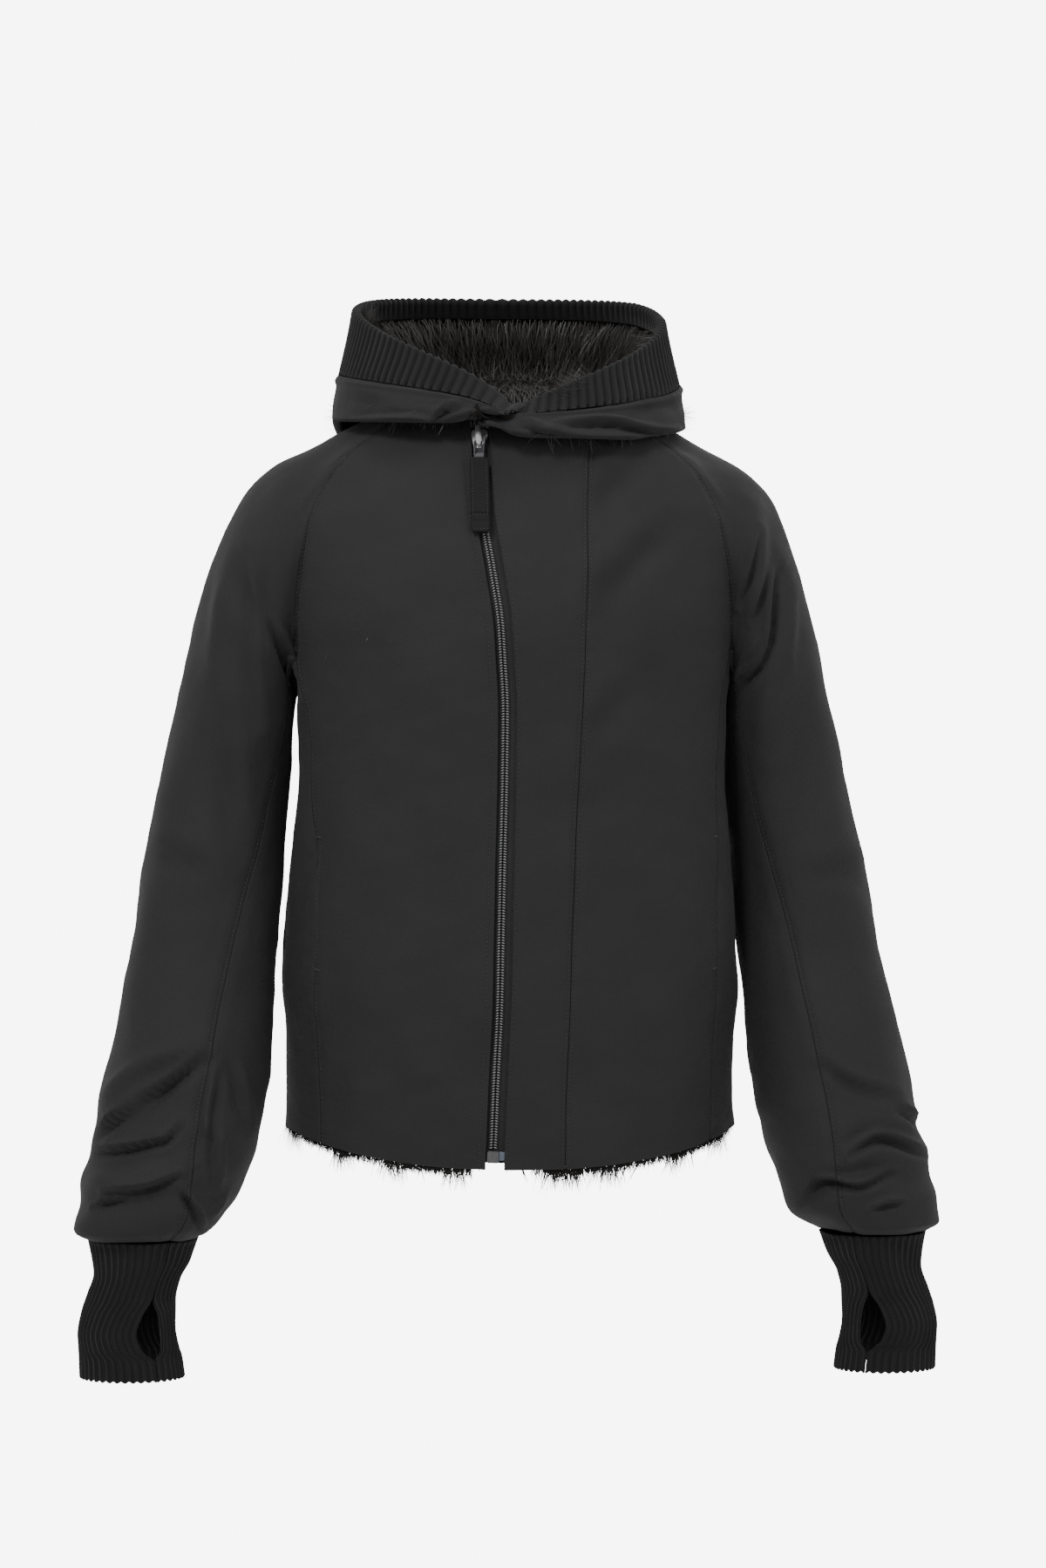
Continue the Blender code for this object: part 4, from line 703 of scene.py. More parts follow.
def startMaterial(name, roughness, **fixed):
    material = bpy.data.materials.new(name)
    material.use_nodes = True
    tree = material.node_tree
    shader = tree.nodes["Principled BSDF"]
    shader.inputs["Roughness"].default_value = roughness
    for label, value in fixed.items():
        shader.inputs[label.replace("_", " ")].default_value = value
    return material, tree, shader


def clothPlace(tree):
    return addNode(tree, "ShaderNodeUVMap", uv_map="clothPlace").outputs[0]


def addBump(tree, shader, height, strength, distance):
    bump = addNode(tree, "ShaderNodeBump")
    bump.inputs["Strength"].default_value, bump.inputs["Distance"].default_value = strength, distance
    feed(tree, bump.inputs["Height"], height)
    feed(tree, shader.inputs["Normal"], bump.outputs[0])


fabricLook = {"dark": (0.0090, 0.0090, 0.0095, 1), "pale": (0.0240, 0.0240, 0.0248, 1), "rough": 0.76,
              "thread": 1.1 * mm, "patch": 0.07, "sheen": 0.06}


def makeFabric(name, look):
    material, tree, shader = startMaterial(name, look["rough"], Sheen_Weight=look["sheen"], Sheen_Roughness=0.45,
                                           Specular_IOR_Level=0.35)
    place = clothPlace(tree)
    weave = placeGroup(tree, weaveGroup, Cloth_Place=place, Thread_Pitch=look["thread"], Slub=0.9)
    tone = placeGroup(tree, toneGroup, Place=place, Patch_Size=look["patch"], Dark_Colour=look["dark"],
                      Pale_Colour=look["pale"], Fine_Tone=weave["Thread Tone"])
    feed(tree, shader.inputs["Base Color"], tone["Colour"])
    feed(tree, shader.inputs["Roughness"],
         maths(tree, "ADD", look["rough"] - 0.08, maths(tree, "MULTIPLY", weave["Thread Tone"], 0.16)))
    addBump(tree, shader, weave["Height"], 0.55, 0.25 * mm)
    return material


knitLook = {"dark": (0.0045, 0.0045, 0.0048, 1), "pale": (0.0215, 0.0215, 0.0222, 1), "stitch": 1.9 * mm}


def makeKnit():
    # the map's first value counts ribs, its second is the length along a rib in metres
    material, tree, shader = startMaterial("ribKnit", 0.9, Sheen_Weight=0.1, Sheen_Roughness=0.5,
                                           Specular_IOR_Level=0.25)
    split = addNode(tree, "ShaderNodeSeparateXYZ")
    feed(tree, split.inputs[0], clothPlace(tree))
    across = maths(tree, "ABSOLUTE", maths(tree, "SUBTRACT", maths(tree, "FRACT", split.outputs[0]), 0.5))
    crest = maths(tree, "SUBTRACT", 1.0, maths(tree, "MULTIPLY", 2.0, across), clamp=True)
    along = maths(tree, "ADD", maths(tree, "DIVIDE", split.outputs[1], knitLook["stitch"]),
                  maths(tree, "MULTIPLY", across, 1.5))
    loops = maths(tree, "SINE", maths(tree, "MULTIPLY", along, 2 * math.pi))
    fuzz = addNode(tree, "ShaderNodeTexNoise")
    spread = addNode(tree, "ShaderNodeTexCoord").outputs["Object"]
    feed(tree, fuzz.inputs["Vector"], spread)
    fuzz.inputs["Scale"].default_value, fuzz.inputs["Detail"].default_value = 900.0, 2.0
    yarn = maths(tree, "ADD", maths(tree, "MULTIPLY", loops, 0.16), fuzz.outputs["Fac"])
    # painted shade: the fine tone is scaled by the rib crest, so the colour goes darker away from each rib's crest
    fine = maths(tree, "MULTIPLY", yarn, maths(tree, "POWER", crest, 0.7), clamp=True)
    tone = placeGroup(tree, toneGroup, Place=spread, Patch_Size=0.02, Dark_Colour=knitLook["dark"],
                      Pale_Colour=knitLook["pale"], Fine_Tone=fine)
    # painted shade: the colour is scaled from 0.3 away from a rib's crest up to 1.1 on it
    shaded = addNode(tree, "ShaderNodeVectorMath", operation="SCALE")
    feed(tree, shaded.inputs[0], tone["Colour"])
    feed(tree, shaded.inputs["Scale"],
         maths(tree, "ADD", 0.3, maths(tree, "MULTIPLY", maths(tree, "POWER", crest, 0.6), 0.8)))
    feed(tree, shader.inputs["Base Color"], shaded.outputs[0])
    addBump(tree, shader, yarn, 0.6, 0.5 * mm)
    return material


furLook = {"dark": (0.008, 0.0076, 0.0072), "pale": (0.052, 0.048, 0.045), "rough": 0.34}


def makeFur(name, rough, gloss, lightAndShadeScale):
    material, tree, shader = startMaterial(name, rough, Specular_IOR_Level=gloss)
    spread = addNode(tree, "ShaderNodeTexCoord").outputs["Object"]
    fine = addNode(tree, "ShaderNodeTexNoise")
    feed(tree, fine.inputs["Vector"], spread)
    fine.inputs["Scale"].default_value = 420.0
    # painted light and shade: both fur colours are scaled per copy, lighter for the pile inside and darker for the
    # hem's edge and the backing
    dark, pale = ((*(lightAndShadeScale * tone for tone in furLook[end]), 1) for end in ("dark", "pale"))
    tone = placeGroup(tree, toneGroup, Place=spread, Patch_Size=0.03, Dark_Colour=dark,
                      Pale_Colour=pale, Fine_Tone=fine.outputs["Fac"])
    feed(tree, shader.inputs["Base Color"], tone["Colour"])
    feed(tree, shader.inputs["Roughness"],
         maths(tree, "ADD", rough, maths(tree, "MULTIPLY", fine.outputs["Fac"], 0.2)))
    return material


def makeHard(name, dark, pale, rough, metallic, coat=0.0):
    # metal or moulded plastic with fine rubbed marks
    material, tree, shader = startMaterial(name, rough, Metallic=metallic, Coat_Weight=coat)
    spread = addNode(tree, "ShaderNodeTexCoord").outputs["Object"]
    marks = addNode(tree, "ShaderNodeTexNoise")
    feed(tree, marks.inputs["Vector"], vectorMaths(tree, "MULTIPLY", spread, (1.0, 1.0, 0.25)))
    marks.inputs["Scale"].default_value, marks.inputs["Detail"].default_value = 260.0, 4.0
    tone = placeGroup(tree, toneGroup, Place=spread, Patch_Size=0.004, Dark_Colour=dark, Pale_Colour=pale,
                      Fine_Tone=marks.outputs["Fac"])
    feed(tree, shader.inputs["Base Color"], tone["Colour"])
    feed(tree, shader.inputs["Roughness"], maths(tree, "ADD", rough * 0.7, maths(
        tree, "MULTIPLY", marks.outputs["Fac"], rough * 0.6)))
    addBump(tree, shader, marks.outputs["Fac"], 0.12, 0.05 * mm)
    return material


finish = {
    "shell": makeFabric("wovenShell", fabricLook),
    "knit": makeKnit(),
    # the one fur lining in three copies, its colours scaled as painted light and shade: 1.7 for the pile inside, 0.6
    # for the hem's edge, 0.7 for the backing
    "fur": makeFur("furPile", furLook["rough"], 0.6, 1.7),
    "hemFur": makeFur("furEdge", 0.6, 0.15, 0.6),
    "backing": makeFur("furBacking", 0.9, 0.05, 0.7),
    "tape": makeFabric("zipTape", {"dark": (0.010, 0.010, 0.011, 1), "pale": (0.024, 0.024, 0.026, 1), "rough": 0.7,
                                   "thread": 0.8 * mm, "patch": 0.02, "sheen": 0.1}),
    "tab": makeFabric("tabCloth", {"dark": (0.0042, 0.0042, 0.0046, 1), "pale": (0.0115, 0.0115, 0.012, 1),
                                   "rough": 0.85, "thread": 0.9 * mm, "patch": 0.015, "sheen": 0.0}),
    "teeth": makeHard("zipTeeth", (0.15, 0.15, 0.155, 1), (0.29, 0.29, 0.296, 1), 0.36, 0.0, coat=0.3),
    "thread": makeHard("sewingThread", (0.016, 0.016, 0.017, 1), (0.045, 0.045, 0.047, 1), 0.5, 0.0),
    "silver": makeHard("brightMetal", (0.78, 0.78, 0.79, 1), (0.95, 0.95, 0.96, 1), 0.42, 1.0),
    "greyMetal": makeHard("greyMetal", (0.09, 0.09, 0.093, 1), (0.21, 0.21, 0.215, 1), 0.36, 1.0),
    "dark": makeHard("darkMetal", (0.045, 0.045, 0.048, 1), (0.11, 0.11, 0.115, 1), 0.34, 1.0),
    "film": makeHard("filmEnd", (0.09, 0.12, 0.17, 1), (0.17, 0.20, 0.26, 1), 0.22, 0.0, coat=0.5),
}
print("finishes made")


# ---- meshes
def meshObject(name, points, faces, material, places=None):
    mesh = bpy.data.meshes.new(name)
    mesh.from_pydata(np.asarray(points).tolist(), [], [list(map(int, face)) for face in faces])
    mesh.validate()
    if places is not None:
        layer = mesh.uv_layers.new(name="clothPlace")
        corner = np.empty(len(mesh.loops), int)
        mesh.loops.foreach_get("vertex_index", corner)
        layer.data.foreach_set("uv", np.asarray(places, float)[corner].ravel())
    mesh.shade_smooth()
    mesh.materials.append(material)
    return placeInScene(name, mesh)


def turnOutwards(piece, merge=0.0):
    mesh = bmesh.new()
    mesh.from_mesh(piece.data)
    if merge:
        bmesh.ops.remove_doubles(mesh, verts=mesh.verts, dist=merge)
    bmesh.ops.recalc_face_normals(mesh, faces=mesh.faces)
    mesh.to_mesh(piece.data)
    mesh.free()


def gridPlaces(grid):
    across = np.concatenate([np.zeros((len(grid), 1)), np.cumsum(
        np.linalg.norm(np.diff(grid, axis=1), axis=2), axis=1)], axis=1)
    middle = grid.shape[1] // 2
    across -= across[:, middle:middle + 1]
    down = lengthAlong(grid[:, middle])
    return np.stack([across, np.broadcast_to(down[:, None], across.shape)], axis=-1)


def gridFaces(rows, columns):
    a = (np.arange(rows - 1)[:, None] * columns + np.arange(columns - 1)[None, :]).ravel()
    return np.stack([a + columns, a, a + 1, a + columns + 1], axis=1)


def wallFromGrid(name, grid, normals, thickness, material, flip=False):
    # a thin closed wall of cloth: the grid outside, a copy inside, and a rim round the edge
    rows, columns = grid.shape[:2]
    outer, inner = grid.reshape(-1, 3), (grid - normals * thickness).reshape(-1, 3)
    places = gridPlaces(grid).reshape(-1, 2)
    front = gridFaces(rows, columns)
    back = front[:, ::-1] + rows * columns
    number = np.arange(rows * columns).reshape(rows, columns)
    ring = np.concatenate([number[0, :-1], number[:-1, -1], number[-1, :0:-1], number[:0:-1, 0]])
    after = np.roll(ring, -1)
    rim = np.stack([after, ring, ring + rows * columns, after + rows * columns], axis=1)
    faces = np.concatenate([front, back, rim[:, ::-1]])
    if flip:
        faces = faces[:, ::-1]
    return meshObject(name, np.concatenate([outer, inner]), faces, material, np.concatenate([places, places]))


def drawEdgesIn(grid, amount, edges="lrbt"):
    grid = grid.copy()
    for mark, edge, beside in (("l", np.s_[:, 0], np.s_[:, 1]), ("r", np.s_[:, -1], np.s_[:, -2]),
                               ("b", np.s_[0], np.s_[1]), ("t", np.s_[-1], np.s_[-2])):
        if mark in edges:
            step = grid[beside] - grid[edge]
            length = np.maximum(np.linalg.norm(step, axis=-1), 1e-6)[:, None]
            grid[edge] = grid[edge] + step / length * np.minimum(amount, length * 0.5)
    return grid


# ---- repeats made by geometry nodes
def newGeometryTree(name, inputs):
    tree = bpy.data.node_groups.new(name, "GeometryNodeTree")
    tree.interface.new_socket("Geometry", in_out="INPUT", socket_type="NodeSocketGeometry")
    for label, kind, value in inputs:
        socket = tree.interface.new_socket(label, in_out="INPUT", socket_type=kind)
        if value is not None:
            socket.default_value = value
    tree.interface.new_socket("Geometry", in_out="OUTPUT", socket_type="NodeSocketGeometry")
    return tree, addNode(tree, "NodeGroupInput").outputs, addNode(tree, "NodeGroupOutput").inputs[0]


def namedVector(tree, name, kind="FLOAT_VECTOR"):
    made = addNode(tree, "GeometryNodeInputNamedAttribute", data_type=kind)
    made.inputs["Name"].default_value = name
    return made.outputs["Attribute"]


def turnTo(tree, rotation, axis, vector, pivot="AUTO"):
    made = addNode(tree, "FunctionNodeAlignRotationToVector", axis=axis, pivot_axis=pivot)
    if rotation is not None:
        feed(tree, made.inputs["Rotation"], rotation)
    feed(tree, made.inputs["Vector"], vector)
    return made.outputs[0]


def endTree(tree, geometry, material, out):
    real = addNode(tree, "GeometryNodeRealizeInstances")
    feed(tree, real.inputs[0], geometry)
    shaded = addNode(tree, "GeometryNodeSetShadeSmooth")
    feed(tree, shaded.inputs["Geometry"], real.outputs[0])
    paint = addNode(tree, "GeometryNodeSetMaterial")
    feed(tree, paint.inputs["Geometry"], shaded.outputs[0])
    feed(tree, paint.inputs["Material"], material)
    feed(tree, out, paint.outputs[0])


def makeStitchTree():
    # one rounded stitch after another along every line of the mesh
    tree, given, out = newGeometryTree("stitchRow", [
        ("Pitch", "NodeSocketFloat", 3.2 * mm), ("Length", "NodeSocketFloat", 2.5 * mm),
        ("Width", "NodeSocketFloat", 0.7 * mm), ("Height", "NodeSocketFloat", 0.5 * mm),
        ("Slant", "NodeSocketFloat", 0.0), ("Thread", "NodeSocketMaterial", None)])
    path = addNode(tree, "GeometryNodeMeshToCurve")
    feed(tree, path.inputs["Mesh"], given["Geometry"])
    spaced = addNode(tree, "GeometryNodeResampleCurve", mode="LENGTH")
    feed(tree, spaced.inputs["Curve"], path.outputs[0])
    feed(tree, spaced.inputs["Length"], given["Pitch"])
    ball = addNode(tree, "GeometryNodeMeshIcoSphere")
    ball.inputs["Radius"].default_value, ball.inputs["Subdivisions"].default_value = 0.5, 1
    size = addNode(tree, "ShaderNodeCombineXYZ")
    for k, label in enumerate(("Length", "Width", "Height")):
        feed(tree, size.inputs[k], given[label])
    shaped = addNode(tree, "GeometryNodeTransform")
    feed(tree, shaped.inputs["Geometry"], ball.outputs[0])
    feed(tree, shaped.inputs["Scale"], size.outputs[0])
    slant = addNode(tree, "ShaderNodeCombineXYZ")
    feed(tree, slant.inputs[2], given["Slant"])
    feed(tree, shaped.inputs["Rotation"], slant.outputs[0])
    tangent = addNode(tree, "GeometryNodeInputTangent").outputs[0]
    turn = turnTo(tree, turnTo(tree, None, "X", tangent), "Z", namedVector(tree, "outward"), "X")
    rows = addNode(tree, "GeometryNodeInstanceOnPoints")
    feed(tree, rows.inputs["Points"], spaced.outputs[0])
    feed(tree, rows.inputs["Instance"], shaped.outputs[0])
    feed(tree, rows.inputs["Rotation"], turn)
    endTree(tree, rows.outputs[0], given["Thread"], out)
    return tree


def makeFurTree():
    # tapered, bent hairs spread over a bed and combed along its own direction
    tree, given, out = newGeometryTree("furPileSpread", [
        ("Density", "NodeSocketFloat", 1e5), ("Hair Length", "NodeSocketFloat", 24 * mm),
        ("Hair Width", "NodeSocketFloat", 0.5 * mm), ("Bend", "NodeSocketFloat", 0.35),
        ("Unruly", "NodeSocketFloat", 0.35), ("Seed", "NodeSocketInt", 3), ("Pile", "NodeSocketMaterial", None)])
    spread = addNode(tree, "GeometryNodeDistributePointsOnFaces", distribute_method="RANDOM")
    feed(tree, spread.inputs["Mesh"], given["Geometry"])
    feed(tree, spread.inputs["Density"],
         maths(tree, "MULTIPLY", given["Density"], namedVector(tree, "thick", "FLOAT")))
    feed(tree, spread.inputs["Seed"], given["Seed"])
    blade = addNode(tree, "GeometryNodeMeshGrid")
    blade.inputs["Size X"].default_value = blade.inputs["Size Y"].default_value = 1.0
    blade.inputs["Vertices X"].default_value, blade.inputs["Vertices Y"].default_value = 2, 4
    spot = addNode(tree, "GeometryNodeInputPosition").outputs[0]
    split = addNode(tree, "ShaderNodeSeparateXYZ")
    feed(tree, split.inputs[0], spot)
    along = maths(tree, "ADD", split.outputs[1], 0.5)
    taper = maths(tree, "SUBTRACT", 1.0, maths(tree, "MULTIPLY", 0.92, maths(tree, "POWER", along, 1.6)))
    join = addNode(tree, "ShaderNodeCombineXYZ")
    across = maths(tree, "MULTIPLY", split.outputs[0], given["Hair Width"])
    feed(tree, join.inputs[0], maths(tree, "MULTIPLY", across, taper))
    feed(tree, join.inputs[1], maths(tree, "MULTIPLY", along, given["Hair Length"]))
    bow = maths(tree, "MULTIPLY", maths(tree, "POWER", along, 2.0), given["Bend"])
    feed(tree, join.inputs[2], maths(tree, "MULTIPLY", bow, maths(tree, "MULTIPLY", given["Hair Length"], -1.0)))
    shaped = addNode(tree, "GeometryNodeSetPosition")
    feed(tree, shaped.inputs["Geometry"], blade.outputs["Mesh"])
    feed(tree, shaped.inputs["Position"], join.outputs[0])
    loose = addNode(tree, "FunctionNodeRandomValue", data_type="FLOAT_VECTOR")
    loose.inputs[0].default_value, loose.inputs[1].default_value = (-1, -1, -1), (1, 1, 1)
    feed(tree, loose.inputs["Seed"], given["Seed"])
    scaled = addNode(tree, "ShaderNodeVectorMath", operation="SCALE")
    feed(tree, scaled.inputs[0], loose.outputs[0])
    feed(tree, scaled.inputs["Scale"], given["Unruly"])
    lay = vectorMaths(tree, "ADD", namedVector(tree, "comb"), scaled.outputs[0])
    turn = turnTo(tree, turnTo(tree, None, "Y", lay), "Z", spread.outputs["Normal"], "Y")
    size = addNode(tree, "FunctionNodeRandomValue", data_type="FLOAT")
    size.inputs[2].default_value, size.inputs[3].default_value = 0.55, 1.15
    size.inputs["Seed"].default_value = 11
    hairs = addNode(tree, "GeometryNodeInstanceOnPoints")
    feed(tree, hairs.inputs["Points"], spread.outputs["Points"])
    feed(tree, hairs.inputs["Instance"], shaped.outputs[0])
    feed(tree, hairs.inputs["Rotation"], turn)
    feed(tree, hairs.inputs["Scale"], size.outputs[1])
    endTree(tree, hairs.outputs[0], given["Pile"], out)
    return tree


def makeRibTree():
    # lifts the crests of a rib knit out of its plain tube
    tree, given, out = newGeometryTree("ribLift", [("Rise", "NodeSocketFloat", 1.1 * mm),
                                                   ("Roundness", "NodeSocketFloat", 0.62),
                                                   ("Knit", "NodeSocketMaterial", None)])
    turn = namedVector(tree, "ribTurn", "FLOAT")
    wave = maths(tree, "ADD", 0.5, maths(tree, "MULTIPLY", 0.5, maths(tree, "COSINE", turn)))
    crest = maths(tree, "SUBTRACT", maths(tree, "POWER", wave, given["Roundness"]), 1.0)
    lift = maths(tree, "MULTIPLY", maths(tree, "MULTIPLY", crest, given["Rise"]),
                 namedVector(tree, "ribEase", "FLOAT"))
    offset = addNode(tree, "ShaderNodeVectorMath", operation="SCALE")
    feed(tree, offset.inputs[0], namedVector(tree, "outward"))
    feed(tree, offset.inputs["Scale"], lift)
    moved = addNode(tree, "GeometryNodeSetPosition")
    feed(tree, moved.inputs["Geometry"], given["Geometry"])
    feed(tree, moved.inputs["Offset"], offset.outputs[0])
    endTree(tree, moved.outputs[0], given["Knit"], out)
    return tree


stitchTree, furTree, ribTree = makeStitchTree(), makeFurTree(), makeRibTree()


def bakeTree(source, tree, name, **values):
    # runs a tree on a source object and keeps the result as a plain mesh
    modifier = source.modifiers.new("shape", "NODES")
    modifier.node_group = tree
    for item in tree.interface.items_tree:
        label = item.name.replace(" ", "_")
        if item.item_type == "SOCKET" and item.in_out == "INPUT" and label in values:
            modifier[item.identifier] = values[label]
    source.data.update()
    bpy.context.view_layer.update()
    evaluated = source.evaluated_get(bpy.context.evaluated_depsgraph_get())
    mesh = bpy.data.meshes.new_from_object(evaluated)
    source.modifiers.remove(modifier)
    finishes = [material for material in mesh.materials if material]
    mesh.materials.clear()
    mesh.materials.append(finishes[0])
    mesh.polygons.foreach_set("material_index", np.zeros(len(mesh.polygons), dtype=np.int32))
    mesh.name = name
    piece = placeInScene(name, mesh)
    bpy.data.objects.remove(source, do_unlink=True)
    return piece


def addVectors(mesh, name, values):
    mesh.attributes.new(name, "FLOAT_VECTOR", "POINT").data.foreach_set("vector", np.asarray(values, float).ravel())


def addNumbers(mesh, name, values):
    mesh.attributes.new(name, "FLOAT", "POINT").data.foreach_set("value", np.asarray(values, float).ravel())


stitchLook = {name: {"Pitch": pitch * mm, "Length": length * mm, "Width": width * mm, "Height": height * mm}
              for name, pitch, length, width, height in (
                  ("shell", 3.3, 2.6, 0.75, 0.6), ("pocket", 3.3, 2.6, 0.62, 0.42), ("bar", 0.6, 0.6, 2.0, 0.9),
                  ("hood", 3.2, 2.5, 0.62, 0.42), ("tooth", 2.1, 1.35, 3.1, 1.9), ("tape", 1.5, 1.7, 0.8, 0.7),
                  ("tab", 2.4, 1.8, 0.75, 0.6))}


def sewRows(name, lines, material, **values):
    # lines are (points, outward) pairs; all of them become one piece of stitches
    points = np.concatenate([line[0] + line[1] * 0.12 * mm for line in lines])
    outward = np.concatenate([line[1] for line in lines])
    edges, at = [], 0
    for line in lines:
        edges += [(at + k, at + k + 1) for k in range(len(line[0]) - 1)]
        at += len(line[0])
    mesh = bpy.data.meshes.new(name + "Path")
    mesh.from_pydata(points.tolist(), edges, [])
    addVectors(mesh, "outward", outward)
    return bakeTree(placeInScene(name + "Path", mesh), stitchTree, name, Thread=material, **values)


# ---- the woven shell
seamLook = {"width": 1.0, "depth": 0.75, "pocketDepth": 0.8, "ridge": 0.45, "ridgeAt": 8.5,      # millimetres
            "ridgeWidth": 4.5, "stitchDepth": 0.6, "stitchWidth": 1.0, "pucker": 0.26, "puckerPitch": 11,
            "slowPitch": 47, "fadePitch": 130, "puckerAt": 4.0, "puckerWidth": 6.5}


def nearestOnLines(points, lines, finer):
    # for each point, how far off the nearest of the lines is and which of their close-set spots it is
    spots = []
    for line in lines:
        at = np.linspace(0, len(line) - 1, len(line) * finer)
        spots.append(np.array([np.interp(at, np.arange(len(line)), line[:, i]) for i in range(3)]).T)
    tree = KDTree(sum(len(line) for line in spots))
    for number, spot in enumerate(np.concatenate(spots)):
        tree.insert(spot, number)
    tree.balance()
    found = [tree.find(point) for point in points]
    return np.array([hit[2] for hit in found]), np.array([hit[1] for hit in found]), spots


def buildShell():
    sewn = SewnCloth()
    step = cloth["rowStep"]
    hemRows = np.array([0, .12, .28, .5, .8, 1.15])
    lower = np.concatenate([hemRows, np.arange(1.55, cloth["underarm"] - 1.0, step), [37.75, 38.1, 38.33, 38.5]])
    nearArm = cloth["underarm"] + np.array([.16, .34, .54, .76, 1.0, 1.3, 1.7])
    yoke = np.concatenate([[cloth["underarm"]], nearArm, np.arange(nearArm[-1] + step, 61.0, step),
                           [61.2, 61.5, 61.75, cloth["neck"]]])
    levels = np.concatenate([lower, yoke[1:]])
    seam, backSeam = bodyColumn(levels, "frontSeam"), bodyColumn(levels, "backSeam")
    zipX = bodyColumn(levels, "zipX")
    rightEdge, leftEdge = angleAt(levels, zipX - cloth["slotRight"]), angleAt(levels, zipX + cloth["slotLeft"])
    placket = angleAt(levels, bodyColumn(levels, "placketX"))
    wide = cloth["columnStep"]
    shares = {"frontRight": seamShares(0.155, wide), "frontPlacket": seamShares(0.05, wide),
              "frontLeft": seamShares(0.13, wide), "back": seamShares(0.33, wide), "side": seamShares(0.17, wide)}
    sewn.add("frontRight", bodyPoint(levels[:, None], between(-seam, rightEdge, shares["frontRight"])))
    sewn.add("frontPlacket", bodyPoint(levels[:, None], between(leftEdge, placket, shares["frontPlacket"])))
    sewn.add("frontLeft", bodyPoint(levels[:, None], between(placket, seam, shares["frontLeft"])))
    sewn.add("backPanel", bodyPoint(levels[:, None], between(180.0 - backSeam, 180.0 + backSeam, shares["back"])))
    side = sideGrid(lower, shares["side"])
    ring = armholeRing(yoke, np.linspace(0.0, 1.0, 11), side[-1])
    underColumns = len(shares["side"]) - 1
    near = np.array([0, .02, .045, .07, .1, .135, .17, .22, .3, .42, .56])
    stations = np.concatenate([near, np.arange(.7, 15.0, .155), np.arange(15.0, 19.4, .11),
                               np.arange(19.4, 20.001, .075)])
    sleeve = sleeveGrid(ring, underColumns, stations)
    split = len(ring) - underColumns
    for label, panel, tube, flip in (("Left", side, drawnIn(sleeve), False),
                                     ("Right", side * mirror, sleeve * mirror, True)):
        sewn.add(f"side{label}", panel, flip)
        sewn.add(f"sleeve{label}Upper", tube[:, :split + 1], not flip)
        sewn.add(f"sleeve{label}Under", tube[:, split:], not flip)
    sewn.gather()
    print("cloth cut:", len(sewn.points), "points")

    grids = {name: sewn.panel(name) for name in sewn.grids}
    seams = [grids["frontLeft"][0][:, -1], grids["frontRight"][0][:, 0], grids["frontLeft"][0][:, 0],
             grids["backPanel"][0][:, 0], grids["backPanel"][0][:, -1]]
    for label in ("Left", "Right"):
        upper = grids[f"sleeve{label}Upper"][0]
        seams += [upper[0], upper[:, 0], upper[:, -1], grids[f"sleeve{label}Under"][0][0]]
    away, spot, fine = nearestOnLines(sewn.points, seams, 4)
    run = np.concatenate([lengthAlong(line) + 3.7 * k for k, line in enumerate(fine)])[spot]

    # stitch lines: panel, edge, distance
    beside = 2.6 * mm
    lines = [("frontRight", "right", 5.2 * mm), ("frontPlacket", "left", 2.2 * mm), ("frontPlacket", "right", beside),
             ("frontLeft", "left", beside), ("frontLeft", "right", beside), ("frontRight", "left", beside),
             ("backPanel", "left", beside), ("backPanel", "right", beside),
             ("sleeveLeftUpper", "bottom", 2.8 * mm), ("sleeveRightUpper", "bottom", 2.8 * mm),
             ("sleeveLeftUpper", "left", beside), ("sleeveRightUpper", "left", beside)]
    sunk = [pathOnGrid(*grids[name], edge, distance)[0] for name, edge, distance in lines]
    toStitch = nearestOnLines(sewn.points, sunk, 3)[0]

    points, normals = sewn.points, sewn.normals
    shift = foldShift(points, normals)
    shift += creaseShift(points, normals, "front") + creaseShift(points, normals, "back")
    z, x = points[:, 2] / cm, points[:, 0] / cm
    onSeam = bell(away, 0.0, seamLook["width"] * mm)
    pocket = np.exp(-((z + 38.0) / 6.2) ** 8) * (np.abs(x) < 19.0) * (points[:, 1] < 0.0)
    shift -= onSeam * (seamLook["depth"] + seamLook["pocketDepth"] * pocket) * mm
    shift += seamLook["ridge"] * mm * bell(away, seamLook["ridgeAt"] * mm, seamLook["ridgeWidth"] * mm) * (1 + pocket)
    shift -= seamLook["stitchDepth"] * mm * bell(toStitch, 0.0, seamLook["stitchWidth"] * mm)
    ripple = np.sin(run * 2 * math.pi / (seamLook["puckerPitch"] * mm)
                    + 2.2 * np.sin(run * 2 * math.pi / (seamLook["slowPitch"] * mm)))
    ripple *= 0.6 + 0.4 * np.sin(run * 2 * math.pi / (seamLook["fadePitch"] * mm))
    ripple *= bell(away, seamLook["puckerAt"] * mm, seamLook["puckerWidth"] * mm) * (1 - onSeam)
    shift += seamLook["pucker"] * mm * ripple
    low = np.clip((-z - 49.0) / 12.0, 0.0, 1.0) * (np.abs(x) > 19.6)
    shift += 0.8 * mm * softNoise(points, 0.085, 5) + 0.22 * mm * softNoise(points, 0.03, 6)
    shift += 1.9 * mm * low * softNoise(points, 0.05, 7, (0.35, 0.35, 1.5))
    arm = np.clip((np.abs(x) - 19.0) / 2.0, 0.0, 1.0) * (1 - low)
    shift += 1.2 * mm * arm * softNoise(points, 0.09, 9, (0.9, 0.9, 0.45))
    hem = np.clip(1.0 - (z + 57.0) / 3.0, 0.0, 1.0) * (np.abs(x) < 19.6)
    shift += 0.7 * mm * hem * softNoise(points, 0.10, 8, (1.6, 1.6, 0.3))
    sewn.points = points + normals * shift[:, None]
    sewn.normals = sewn.findNormals(sewn.grids)

